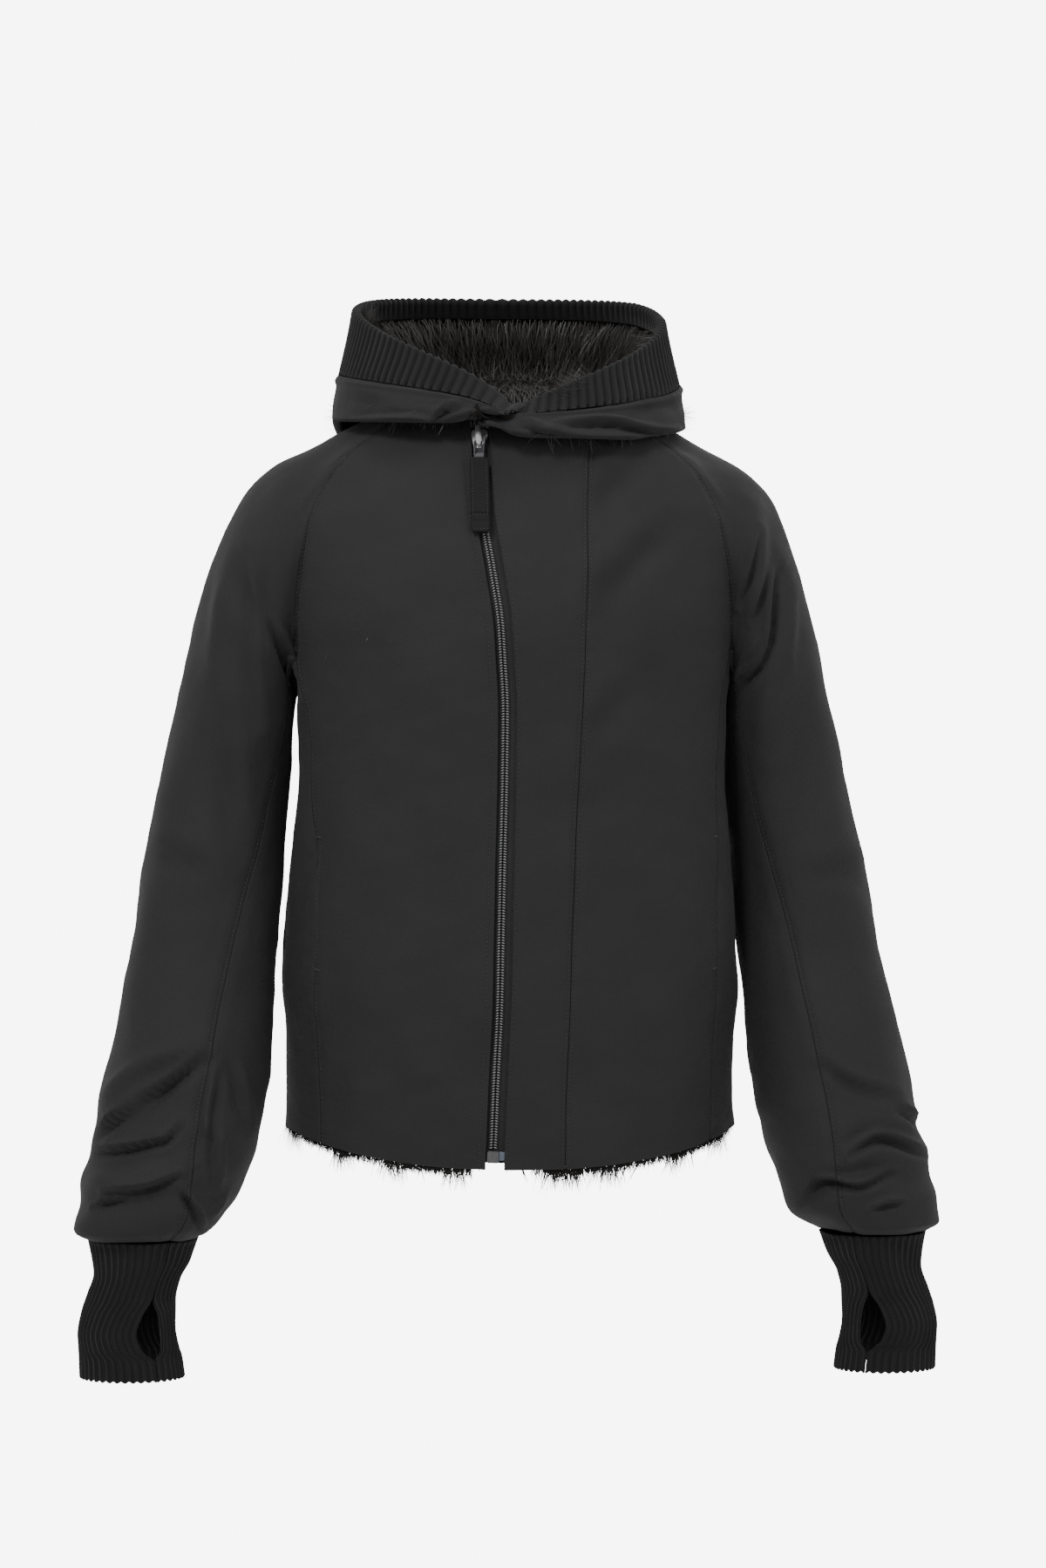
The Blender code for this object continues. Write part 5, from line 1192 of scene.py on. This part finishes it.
    nodes = {"frontRight": "front_right", "frontPlacket": "front_placket", "frontLeft": "front_left",
             "backPanel": "back", "sideLeft": "side_left", "sideRight": "side_right",
             "sleeveLeftUpper": "sleeve_left_upper", "sleeveLeftUnder": "sleeve_left_under",
             "sleeveRightUpper": "sleeve_right_upper", "sleeveRightUnder": "sleeve_right_under"}
    pieces = {}
    for name, node in nodes.items():
        grid, normals = sewn.panel(name)
        grid = drawEdgesIn(grid, 0.22 * mm)
        piece = wallFromGrid(name, grid, normals, cloth["wall"], finish["shell"], flip=sewn.flips[name])
        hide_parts(node)
        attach(piece, garment)
        pieces[name] = piece
    grids = {name: sewn.panel(name) for name in sewn.grids}

    rows = [pathOnGrid(*grids[name], edge, distance) for name, edge, distance in lines]
    stitches = sewRows("topstitching", rows, finish["thread"], **stitchLook["shell"])
    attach(stitches, garment)

    # pocket openings in the side seams: a second row beside the opening and a bar at each end
    tacks, pocketRows = [], []
    for name, edge in (("frontLeft", "right"), ("frontRight", "left")):
        grid, normals = grids[name]
        spots, outward = pathOnGrid(grid, normals, edge, 7.5 * mm)
        inside = np.flatnonzero((spots[:, 2] < -0.325) & (spots[:, 2] > -0.437))
        pocketRows.append((spots[inside], outward[inside]))
        for end in (inside[0], inside[-1]):
            across = [pathOnGrid(grid[end:end + 1], normals[end:end + 1], edge, reach * mm)
                      for reach in np.linspace(0.8, 8.0, 12)]
            tacks.append((np.concatenate([a[0] for a in across]), np.concatenate([a[1] for a in across])))
    pocketStitch = sewRows("pocketStitching", pocketRows, finish["thread"], **stitchLook["pocket"])
    bars = sewRows("pocketBars", tacks, finish["thread"], **stitchLook["bar"])
    for piece in (pocketStitch, bars):
        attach(piece, garment)
    print("shell sewn")


buildShell()


# ---- the hood, worn down: its cloth, its rib band and the fur inside
hoodLook = {"wall": 2.2 * mm, "rows": 0.1, "columns": 190, "bandWall": 8.6 * mm, "ribRise": 1.6 * mm,
            "ribColumns": 8, "bandRows": 17, "innerRows": 4}


def buildHoodCloth():
    ends = np.array([0, .0012, .003, .006, .010, .015])
    shares = np.concatenate([ends, np.linspace(.021, .979, hoodLook["columns"]), 1 - ends[::-1]])
    rings = np.concatenate([np.arange(0.0, 6.7, hoodLook["rows"]), [6.72, 6.78, 6.84, 6.89, 6.93, 6.965, 7.0]])
    grid = hoodPoint(rings[:, None], shares[None, :])
    normals = gridNormals(grid)
    flat, facing = grid.reshape(-1, 3), normals.reshape(-1, 3)
    outerSide = np.clip((np.repeat(rings, len(shares)) - 3.4) / 0.8, 0.0, 1.0)
    shift = creaseShift(flat, facing, "hood") * outerSide
    shift += (0.7 * mm * softNoise(flat, 0.07, 21, (0.7, 0.7, 1.6))
              + 0.25 * mm * softNoise(flat, 0.028, 22)) * outerSide
    ringMark = np.repeat(rings, len(shares))
    # the seam to the band, its row of stitches and the fold of cloth below it
    shift -= 0.7 * mm * bell(ringMark, 7.0, 0.03)
    shift -= 0.35 * mm * bell(ringMark, 6.93, 0.02)
    shift += 1.5 * mm * bell(ringMark, 6.72, 0.14)
    turn = np.tile(shares, len(rings))
    shift += 0.3 * mm * np.sin(turn * 2 * math.pi * 61) * bell(ringMark, 6.85, 0.12)
    grid = (flat + facing * shift[:, None]).reshape(grid.shape)
    normals = gridNormals(grid)
    piece = wallFromGrid("hoodCloth", drawEdgesIn(grid, 0.2 * mm, "lrt"), normals, hoodLook["wall"], finish["shell"])
    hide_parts("hood_shell", "hood_neck")
    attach(piece, garment)
    rows = [pathOnGrid(grid, normals, "top", 2.6 * mm), pathOnGrid(grid[30:], normals[30:], "left", 3.5 * mm),
            pathOnGrid(grid[30:], normals[30:], "right", 3.5 * mm)]
    stitches = sewRows("hoodStitching", rows, finish["thread"], **stitchLook["hood"])
    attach(stitches, garment)


def foldedKnit(name, outer, normals, wall, ribTurn, places, rise, endDown, innerRows):
    # a rib knit folded over its edge: outer side, rounded edge, inner side, closed at both ends
    columns = outer.shape[1]
    edge, edgeNormal = outer[-1], normals[-1]
    rim, rimNormal = [], []
    for turn in np.linspace(0.0, math.pi, 9)[1:-1]:
        rim.append(edge - edgeNormal * wall / 2 * (1 - math.cos(turn)) + endDown * wall / 2 * math.sin(turn))
        rimNormal.append(edgeNormal * math.cos(turn) + endDown * math.sin(turn))
    inner = (outer - normals * wall)[::-1][:innerRows]
    grid = np.concatenate([outer, np.array(rim), inner])
    outward = np.concatenate([normals, np.array(rimNormal), -normals[::-1][:innerRows]])
    fade = np.ones(len(grid))
    fade[:2] = (0.0, 0.6)
    fade[-2:] = (0.6, 0.0)
    turnAll = np.broadcast_to(ribTurn, (len(grid), columns))
    down = lengthAlong(grid[:, columns // 2])
    placeAll = np.stack([np.broadcast_to(places, (len(grid), columns)),
                         np.broadcast_to(down[:, None], (len(grid), columns))], axis=-1)
    total = len(grid)
    faces = gridFaces(total, columns)
    number = np.arange(total * columns).reshape(total, columns)
    closing = np.stack([number[0, :-1], number[-1, :-1], number[-1, 1:], number[0, 1:]], axis=1)
    caps = []
    for column, turned in ((0, False), (columns - 1, True)):
        loop = number[:, column]
        low, high = 0, total - 1
        while high - low > 1:
            a, b, c, d = loop[low], loop[low + 1], loop[high - 1], loop[high]
            cap = [a, b, d] if b == c else [a, b, c, d]
            caps.append(cap[::-1] if turned else cap)
            low, high = low + 1, high - 1
    faces = [list(face) for face in np.concatenate([faces, closing])] + caps
    source = meshObject(name + "Plain", grid.reshape(-1, 3), faces, finish["knit"], placeAll.reshape(-1, 2))
    addVectors(source.data, "outward", outward.reshape(-1, 3))
    addNumbers(source.data, "ribTurn", turnAll.ravel())
    addNumbers(source.data, "ribEase", np.repeat(fade, columns))
    piece = bakeTree(source, ribTree, name, Rise=rise, Knit=finish["knit"])
    turnOutwards(piece)
    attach(piece, garment)
    return piece


def buildHoodBand():
    columns = hoodForm["ribs"] * hoodLook["ribColumns"] + 1
    shares = np.linspace(0.0, 1.0, columns)
    rings = np.linspace(hoodForm["bandRing"] + 0.02, 7.95, hoodLook["bandRows"])
    outer = hoodPoint(rings[:, None], shares[None, :])
    normals = gridNormals(outer)
    up = unit(outer[-1] - outer[-2])
    turn = 2 * math.pi * hoodForm["ribs"] * shares + math.pi
    band = foldedKnit("hoodBand", outer, normals, hoodLook["bandWall"], turn,
                      shares * hoodForm["ribs"], hoodLook["ribRise"], up, hoodLook["innerRows"])
    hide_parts("hood_band")


def buildCuffs():
    look = {"ribs": 20, "perRib": 8, "rows": 46, "wall": 3.2 * mm, "rise": 1.6 * mm, "slitAngle": 60.0}
    heights = np.linspace(-64.66, -75.5, look["rows"])
    columns = look["ribs"] * look["perRib"] + 1
    share = np.linspace(0.0, 1.0, columns)
    for part, sign in (("Outer", 1.0), ("Inner", -1.0)):
        rows = []
        for z in heights:
            _, slit, halfWidth = cuffPoint(z, np.zeros(1))
            opening = math.degrees((max(slit, 0.0) + 0.03) / halfWidth)
            gap = math.degrees(0.02 / halfWidth)
            rows.append(cuffPoint(z, look["slitAngle"] + sign * (opening + (180.0 - opening - gap) * share))[0])
        grid = np.array(rows)
        normals = gridNormals(grid)
        middle = np.array([curve(cuffRings[::-1], z)[0][:2] * cm for z in heights])
        facing = np.sum(normals[..., :2] * (grid[..., :2] - middle[:, None]), axis=-1).mean()
        normals = normals if facing > 0 else -normals
        arc = np.linalg.norm(grid - grid[:, :1], axis=2)
        slitHere = np.array([curve(cuffRings[::-1], z)[0][4] for z in heights])
        roll = 0.9 * mm * bell(arc, 1.6 * mm, 1.5 * mm) * np.clip(slitHere / 0.5, 0, 1)[:, None]
        nearTop = np.clip(1 - (-64.7 - heights[:, None]) / 7, 0, 1)
        gather = 0.5 * mm * np.sin(share[None, :] * 23.0 + heights[:, None] * 0.9) * nearTop
        grid = grid + normals * (roll + gather)[..., None]
        down = unit(grid[-1] - grid[-2])
        turn = 2 * math.pi * look["ribs"] * share
        for label, tube, face, fall in (("Left", drawnIn(grid), normals, down),
                                        ("Right", grid * mirror, normals * mirror, down * mirror)):
            piece = foldedKnit(f"cuff{label}{part}", tube, face, look["wall"], turn, share * look["ribs"],
                               look["rise"], fall, look["rows"] - 1)
            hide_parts(f"cuff_{label.lower()}_{part.lower()}")
    print("cuffs knitted")


buildHoodCloth()
buildHoodBand()
print("hood made")
buildCuffs()


# ---- fur: a backing sheet for each lining and the pile on it
pileLook = {name: {"Density": density, "Hair_Length": length * mm, "Hair_Width": width * mm, "Bend": bow,
                   "Unruly": unruly, "Seed": seed}
            for name, density, length, width, bow, unruly, seed in (      # hairs a square metre, millimetres
                ("hoodFur", 300000.0, 21, 0.55, 0.3, 0.38, 5), ("neckFur", 250000.0, 20, 0.55, 0.3, 0.38, 5),
                ("neckSeamFur", 420000.0, 19, 0.6, 0.3, 0.4, 12), ("bodyFur", 72000.0, 22, 1.5, 0.3, 0.4, 8),
                ("yokeFurBack", 110000.0, 22, 1.2, 0.3, 0.4, 9), ("yokeFurLeft", 110000.0, 22, 1.2, 0.3, 0.4, 9),
                ("yokeFurRight", 110000.0, 22, 1.2, 0.3, 0.4, 9),
                ("rimTuftFront", 1500000.0, 27, 0.4, 0.25, 0.42, 6),
                ("rimTuftLeft", 900000.0, 24, 0.4, 0.25, 0.42, 6),
                ("rimTuftRight", 900000.0, 20, 0.4, 0.25, 0.42, 6),
                ("hemFurPile", 3600000.0, 7.5, 0.62, 0.16, 0.5, 4),
                ("hemFurTufts", 1500000.0, 19, 0.62, 0.16, 0.42, 4))}


def combed(normals, fall, outward):
    # the way the hair lies: down by one share and off the cloth by another
    return normals * outward + np.array([0.0, 0.0, -fall])


def growPile(name, look, bed, comb, thick, material, outward=False):
    # hair on one face of a bed of points, thinned where the values of thick are low
    source = meshObject(name + "Bed", bed.reshape(-1, 3),
                        gridFaces(*bed.shape[:2])[:, ::1 if outward else -1], material)
    addVectors(source.data, "comb", np.broadcast_to(comb, bed.shape).reshape(-1, 3))
    addNumbers(source.data, "thick", np.broadcast_to(thick, bed.shape[:2]).ravel())
    pile = bakeTree(source, furTree, name, Pile=material, **look)
    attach(pile, garment)
    print(name, len(pile.data.polygons), "faces")


def furOn(name, bed, bedNormals, comb, thick, node):
    backing = wallFromGrid(name + "Backing", bed, bedNormals, 1.6 * mm, finish["backing"])
    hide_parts(node)
    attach(backing, garment)
    growPile(name + "Pile", pileLook[name], bed - bedNormals * 1.5 * mm, comb, thick, finish["fur"])


def buildHoodFur():
    shares = np.linspace(0.012, 0.988, 150)
    for name, rings, node in (("hoodFur", np.linspace(4.9, 7.76, 30), "hood_lining"),
                              ("neckFur", np.linspace(0.03, 2.6, 24), "neck_lining")):
        grid = hoodPoint(rings[:, None], shares[None, :])
        normals = gridNormals(grid)
        inset = np.interp(rings, (6.0, 7.0, 7.6, 7.76), (0.0, 2.6, 4.6, 3.4))[:, None, None] * mm
        grid = grid - normals * (inset + 4.0 * mm)
        fall = -unit(np.gradient(grid, axis=0))
        if name == "neckFur":
            fall = -fall * 0.7
        comb = fall * 0.75 - normals * 0.55
        behind = np.clip((np.minimum(shares, 1 - shares) - 0.20) / 0.07, 0.0, 1.0)
        folded = (6.0 - rings) / 0.5 if name == "hoodFur" else (rings - 1.0) / 0.6
        folded = np.clip(folded, 0.0, 1.0)
        thick = 1.0 - folded[:, None] * (1.0 - behind[None, :])
        bare = 0.15 if name == "neckFur" else 0.035
        thick = thick * np.clip((np.minimum(shares, 1 - shares) - bare) / 0.05, 0.0, 1.0)[None, :]
        furOn(name, grid, normals, comb, thick, node)


def coverNeckSeam():
    # a strip of fur over the seam between the body's lining and the hood's
    seam = hoodPoint(np.zeros((1, 1)), np.linspace(0.24, 0.76, 80)[None, :])[0]
    inward = -seam * np.array([1.0, 1.0, 0.0]) - np.array([0.0, 0.0125, 0.0])
    inward = unit(inward)
    steps = ((7.2, -11.0), (7.2, -5.5), (7.0, 0.0), (5.8, 3.4), (3.2, 5.4), (-1.0, 5.8), (-5.5, 4.6))
    bed = np.array([seam + inward * deep * mm + np.array([0.0, 0.0, high * mm]) for deep, high in steps])
    bedNormals = gridNormals(bed)
    furOn("neckSeamFur", bed, bedNormals, combed(bedNormals, 0.55, -0.7), 1.0, "neck_lining")


def growTufts():
    # longer hair that spills over the rim: share of the way round, way it lies
    for name, reach, lay in (("rimTuftFront", (0.060, 0.106), (-1.0, -0.25, 0.12)),
                             ("rimTuftLeft", (0.20, 0.27), (-0.75, 0.2, -0.35)),
                             ("rimTuftRight", (0.70, 0.80), (0.6, -0.2, 0.55))):
        bed = hoodPoint(np.array([7.60, 7.70, 7.80, 7.90])[:, None], np.linspace(*reach, 16)[None, :])
        bedNormals = gridNormals(bed)
        bed = bed - bedNormals * (hoodLook["bandWall"] + 0.3 * mm)
        growPile(name, pileLook[name], bed, lay, np.sin(np.pi * np.linspace(0, 1, 16)) ** 2, finish["fur"])


furClear = {"left": 1.8, "right": 1.5}      # centimetres of plain cloth left and right of the zip
frontTufts = ((-5.1, .35), (2.4, .4), (3.9, .6), (6.9, .7), (12.4, .6), (16.2, .5),      # across and reach
              (-10.0, .5), (-13.9, .4), (-17.6, .4))


def roundFromZip(levels, count):
    # angles once round the body, from the zip's left side to its right
    zipX = bodyColumn(levels, "zipX")
    return between(angleAt(levels, zipX + furClear["left"]), 360 + angleAt(levels, zipX - furClear["right"]),
                   np.linspace(0.0, 1.0, count))


def buildBodyFur():
    lower = np.concatenate([[0.12, 0.3, 0.5, 0.8, 1.4, 2.4], np.linspace(4.6, cloth["underarm"], 24)])
    skirt = bodyPoint(lower[:, None], roundFromZip(lower, 120))
    normals = gridNormals(skirt)
    skirtBed = skirt - normals * 6.2 * mm
    upward = np.interp(lower, (0.0, 2.0, 6.0, 38.0), (0.25, 0.25, 0.55, 1.0))
    furOn("bodyFur", skirtBed, normals, combed(normals, 0.8, -0.5), upward[:, None], "lining_body")
    # the thick edge of fur that shows under the hem, pointing down and a little outwards
    hemRows = np.array([-0.12, 0.05, 0.22, 0.45])
    edge = bodyPoint(hemRows[:, None], roundFromZip(hemRows, 160))
    edgeNormals = gridNormals(edge)
    edge = edge - edgeNormals * 4.6 * mm
    comb = combed(edgeNormals, 1.0, 0.12)
    spread = np.linspace(0, 1, edge.shape[1])
    across, inFront = edge[0, :, 0] / cm, edge[0, :, 1] < 0
    clear = np.where(inFront, np.clip(np.abs(across + 1.25) / 0.5 - 5.6, 0.0, 1.0), 1.0)
    tufts = clear * (0.7 + 0.3 * np.sin(spread * 83.0) * np.sin(spread * 31.0 + 1.0))
    longer = np.clip(np.sin(spread * 61.0 + 0.7) * np.sin(spread * 149.0 + 2.0) - 0.3, 0.0, 1.0)
    longer = np.where(inFront, 0.0, longer)
    for spot, reach in frontTufts:
        longer = longer + inFront * bell(across, spot, reach)
    for name, thick in (("hemFurPile", tufts), ("hemFurTufts", longer)):
        growPile(name, pileLook[name], edge + edgeNormals * 1.6 * mm, comb, thick, finish["hemFur"], outward=True)


def buildYokeFur():
    # the lining of the shoulders, seen through the neck
    levels = np.linspace(cloth["underarm"], cloth["neck"] - 0.1, 20)
    seam, backSeam, zipX = bodyColumn(levels, "frontSeam"), bodyColumn(levels, "backSeam"), bodyColumn(levels, "zipX")
    panels = {"yokeFurBack": between(180.0 - backSeam, 180.0 + backSeam, np.linspace(0, 1, 40)),
              "yokeFurLeft": between(angleAt(levels, zipX + furClear["left"]), seam, np.linspace(0, 1, 20)),
              "yokeFurRight": between(-seam, angleAt(levels, zipX - furClear["right"]), np.linspace(0, 1, 20))}
    for name, angles in panels.items():
        grid = bodyPoint(levels[:, None], angles)
        normals = gridNormals(grid)
        bed = grid - normals * 6.2 * mm
        furOn(name, bed, normals, combed(normals, 0.8, -0.5), 1.0, "lining_body")


buildHoodFur()
coverNeckSeam()
growTufts()
buildBodyFur()
buildYokeFur()
print("fur grown")


# ---- the zip
zipLook = {"tapeDepth": 3.3 * mm, "tapeWall": 0.8 * mm, "toothSlant": 0.32,
           "foot": 0.5, "chainFoot": 1.7, "chainTop": 59.4, "tapeTop": 61.2}      # levels on the body


def zipPlace(levels, sideways, lift):
    # places beside the zip's middle line, lifted off the shell's form, with the outward direction
    middle = bodyColumn(levels, "zipX")
    spots = bodyPoint(levels, angleAt(levels, middle + sideways))
    step = bodyPoint(levels, angleAt(levels, middle + sideways + 0.2)) - spots
    along = np.gradient(spots, axis=0)
    outward = unit(np.cross(along, step))
    outward = np.where(outward[:, 1:2] > 0, -outward, outward)
    return spots + outward * lift, outward


def buildZip():
    levels = np.linspace(zipLook["foot"], zipLook["tapeTop"], 130)
    for name, left, right, deeper, node in (("tapeRight", -1.2, 0.03, 0.9 * mm, "zip_tape_right"),
                                            ("tapeLeft", 0.0, 1.4, 0.0, "zip_tape_left")):
        strips, outward = zip(*[zipPlace(levels, side, -zipLook["tapeDepth"] - deeper)
                                for side in np.linspace(left, right, 7)])
        grid, normals = np.stack(strips, axis=1), np.stack(outward, axis=1)
        piece = wallFromGrid(name, grid, normals, zipLook["tapeWall"], finish["tape"])
        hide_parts(node)
        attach(piece, garment)
    chain = np.linspace(zipLook["chainFoot"], zipLook["chainTop"], 400)
    teeth = [sewRows("teethSide", [zipPlace(chain, 0.17 * way, -1.9 * mm)], finish["teeth"],
                     **stitchLook["tooth"], Slant=-way * zipLook["toothSlant"]) for way in (-1, 1)]
    cords = [sewRows("teethCord", [zipPlace(chain, 0.345 * way, -2.3 * mm)], finish["tape"],
                     **stitchLook["tape"]) for way in (-1, 1)]
    merged = joinPieces("zipTeeth", teeth)
    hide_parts("zip_chain")
    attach(merged, garment)
    seams = joinPieces("zipTapeStitches", cords)
    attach(seams, garment)
    print("zip closed")


def joinPieces(name, pieces):
    mesh = bmesh.new()
    slots = []
    for piece in pieces:
        before = len(mesh.faces)
        mesh.from_mesh(piece.data)
        mesh.faces.ensure_lookup_table()
        material = piece.data.materials[0]
        if material not in slots:
            slots.append(material)
        for face in mesh.faces[before:]:
            face.material_index = slots.index(material)
    data = bpy.data.meshes.new(name)
    mesh.to_mesh(data)
    mesh.free()
    for material in slots:
        data.materials.append(material)
    for piece in pieces:
        bpy.data.objects.remove(piece, do_unlink=True)
    return placeInScene(name, data)


def framedMesh(name, material, frameOf, outline, low, high, bevel=0.4 * mm):
    # a flat outline (across, down) made solid between two heights over the cloth
    place, across, down, out = frameOf
    mesh = bmesh.new()
    bottom = [mesh.verts.new(place + across * x * mm + down * y * mm + out * low) for x, y in outline]
    face = mesh.faces.new(bottom)
    lifted = bmesh.ops.extrude_face_region(mesh, geom=[face])
    bmesh.ops.translate(mesh, vec=tuple(out * (high - low)),
                        verts=[part for part in lifted["geom"] if isinstance(part, bmesh.types.BMVert)])
    bmesh.ops.recalc_face_normals(mesh, faces=mesh.faces)
    bmesh.ops.bevel(mesh, geom=mesh.edges[:], offset=bevel, segments=2, affect="EDGES", clamp_overlap=True)
    data = bpy.data.meshes.new(name)
    mesh.to_mesh(data)
    mesh.free()
    data.shade_smooth()
    data.set_sharp_from_angle(angle=math.radians(40))
    data.materials.append(material)
    return placeInScene(name, data)


def zipFrame(level, lift):
    near = np.array([level - 0.5, level, level + 0.5])
    angles = angleAt(near, bodyColumn(near, "zipX"))
    line = bodyPoint(near, angles)
    beside = bodyPoint(near[1], angles[1] + np.array([-1.0, 1.0]))
    down, across = line[0] - line[2], beside[1] - beside[0]
    down /= np.linalg.norm(down)
    out = np.cross(down, across)
    out /= -np.linalg.norm(out)
    across = np.cross(out, down)
    if out[1] > 0:
        out, across = -out, -across
    return line[1] + out * lift, across, down, out


# outlines in millimetres: across, and down from the top
sliderWings = [(-2.2, 0.6), (2.2, 0.6), (4.2, -0.4), (7.6, 2.2), (7.9, 6.2), (5.2, 9.2), (4.4, 13.5), (4.1, 18.6),
               (2.6, 20.0), (-2.6, 20.0), (-4.1, 18.6), (-4.4, 13.5), (-4.9, 9.2), (-5.2, 6.0), (-5.0, 2.0),
               (-3.6, -0.2)]
boxOutline = [(-4.2, 0.2), (4.2, 0.2), (4.5, 1.0), (4.5, 8.8), (3.9, 9.8), (-3.9, 9.8), (-4.5, 8.8), (-4.5, 1.0)]
filmOutline = [(4.9, 1.0), (12.0, 1.2), (12.2, 7.6), (4.9, 8.2)]


def block(half, start, stop):
    return [(-half, start), (half, start), (half, stop), (-half, stop)]


def buildSlider():
    spot = zipFrame(59.9, -3.0 * mm + 0.3 * mm)
    top = 6.2 * mm
    legs, crown = (top - 1 * mm, top + 5 * mm), (top + 3.0 * mm, top + 5.4 * mm)
    parts = [framedMesh("sliderBody", finish["silver"], spot, sliderWings, 1.0 * mm, top, 0.7 * mm),
             framedMesh("sliderLegTop", finish["silver"], spot, block(1.3, 1.8, 4.6), *legs),
             framedMesh("sliderLegFoot", finish["silver"], spot, block(1.3, 16, 18.6), *legs),
             framedMesh("sliderBar", finish["silver"], spot, block(2.1, -0.6, 16.9), *crown, 0.8 * mm)]
    slider = joinPieces("zipSlider", parts)
    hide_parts("zip_slider")
    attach(slider, garment)
    box = zipFrame(1.5, -3.0 * mm)
    retainer = framedMesh("zipRetainer", finish["greyMetal"], box, boxOutline, 0.0, 4.0 * mm, 0.6 * mm)
    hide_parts("zip_box")
    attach(retainer, garment)
    film = framedMesh("zipFilm", finish["film"], box, filmOutline, -0.6 * mm, 0.7 * mm, 0.2 * mm)
    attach(film, garment)
    place, _, down, out = spot
    return place + down * 14.2 * mm + out * (top + 2.4 * mm)


tabLook = {"lean": 17.2, "width": 15.0, "length": 62.0, "wall": 2.6,      # degrees, then millimetres
           "endLength": 15.0, "endWall": 4.2, "puller": 14.0}
leftward = np.array([1.0, 0.0, 0.0])


def tabBody(name, material, pivot, down, out, start, length, width, wall, shape):
    # a soft strip with rounded edges; shape gives its width and thickness along the way
    ring = np.linspace(0, 2 * math.pi, 28, endpoint=False)
    rows = []
    for share in np.linspace(0.0, 1.0, 36):
        wide, deep = shape(share)
        x = bend(np.cos(ring), 0.42) * width / 2 * wide
        y = bend(np.sin(ring), 0.75) * wall / 2 * deep
        edge = 0.10 * np.exp(-((np.abs(x) - width / 2 * wide + 1.1) / 0.6) ** 2) * np.sign(y)
        centre = pivot + down * (start + length * share) * mm
        rows.append(centre + (x[:, None] * leftward + (y + edge)[:, None] * out) * mm)
    grid = np.array(rows)
    grid = np.concatenate([grid, grid[:, :1]], axis=1)
    count = grid.shape[1]
    points = np.concatenate([grid.reshape(-1, 3), [grid[0].mean(axis=0)], [grid[-1].mean(axis=0)]])
    faces = [list(face) for face in gridFaces(len(grid), count)]
    last = (len(grid) - 1) * count
    faces += [[k + 1, k, len(points) - 2] for k in range(count - 1)]
    faces += [[last + k, last + k + 1, len(points) - 1] for k in range(count - 1)]
    places = np.concatenate([gridPlaces(grid).reshape(-1, 2), np.zeros((2, 2))])
    piece = meshObject(name, points, faces, material, places)
    turnOutwards(piece, 0.01 * mm)
    return piece


def buildPull(pivot):
    lean = math.radians(tabLook["lean"])
    down = np.array([0.0, -math.sin(lean), -math.cos(lean)])
    out = np.array([0.0, -math.cos(lean), math.sin(lean)])
    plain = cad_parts["zip_puller"]
    data = plain.data.copy()
    data.materials.clear()
    data.materials.append(finish["dark"])
    mesh = bmesh.new()
    mesh.from_mesh(data)
    bmesh.ops.remove_doubles(mesh, verts=mesh.verts, dist=0.005 * mm)
    bmesh.ops.dissolve_limit(mesh, angle_limit=0.01, verts=mesh.verts, edges=mesh.edges)
    bmesh.ops.bevel(mesh, geom=[edge for edge in mesh.edges if edge.calc_face_angle(0) > 0.5], offset=0.3 * mm,
                    segments=2, affect="EDGES", clamp_overlap=True)
    mesh.to_mesh(data)
    mesh.free()
    data.shade_smooth()
    data.set_sharp_from_angle(angle=math.radians(40))
    puller = placeInScene("zipPuller", data)
    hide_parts("zip_puller")
    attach(puller, pull)

    start = tabLook["puller"] + 0.3
    body = tabLook["length"] - tabLook["endLength"]
    tab = tabBody("pullTab", finish["tab"], pivot, down, out, start, body, tabLook["width"], tabLook["wall"],
                  lambda s: (1.0 - 0.10 * bell(s, 0.0, 0.05), 1.0 + 0.10 * math.sin(s * 9)))
    end = tabBody("pullTabEnd", finish["tab"], pivot, down, out, start + body + 0.3, tabLook["endLength"],
                  tabLook["width"], tabLook["endWall"],
                  lambda s: (1.0 - 0.12 * bell(s, 1.0, 0.16) - 0.06 * bell(s, 0.0, 0.1),
                             1.0 - 0.25 * bell(s, 0.45, 0.1)))
    for piece, node in ((tab, "pull_tab"), (end, "pull_tab_end")):
        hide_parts(node)
        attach(piece, pull)
    rows = []
    for side in (-5.6, 5.6):
        run = np.linspace(start + 1.0, start + body - 0.6, 60)
        lift = out * tabLook["wall"] / 2 * mm * 0.97
        spots = pivot + down * run[:, None] * mm + leftward * side * mm + lift
        rows.append((spots, np.broadcast_to(out, spots.shape)))
    for high in (1.2, 13.0):
        run = np.linspace(-5.4, 5.4, 20)
        centre = pivot + down * (start + body + 0.3 + high) * mm + out * tabLook["endWall"] / 2 * mm * 0.95
        spots = centre + run[:, None] * leftward * mm
        rows.append((spots, np.broadcast_to(out, spots.shape)))
    stitches = sewRows("tabStitching", rows, finish["thread"], **stitchLook["tab"])
    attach(stitches, pull)
    print("pull tab hung")


buildZip()
buildPull(buildSlider())
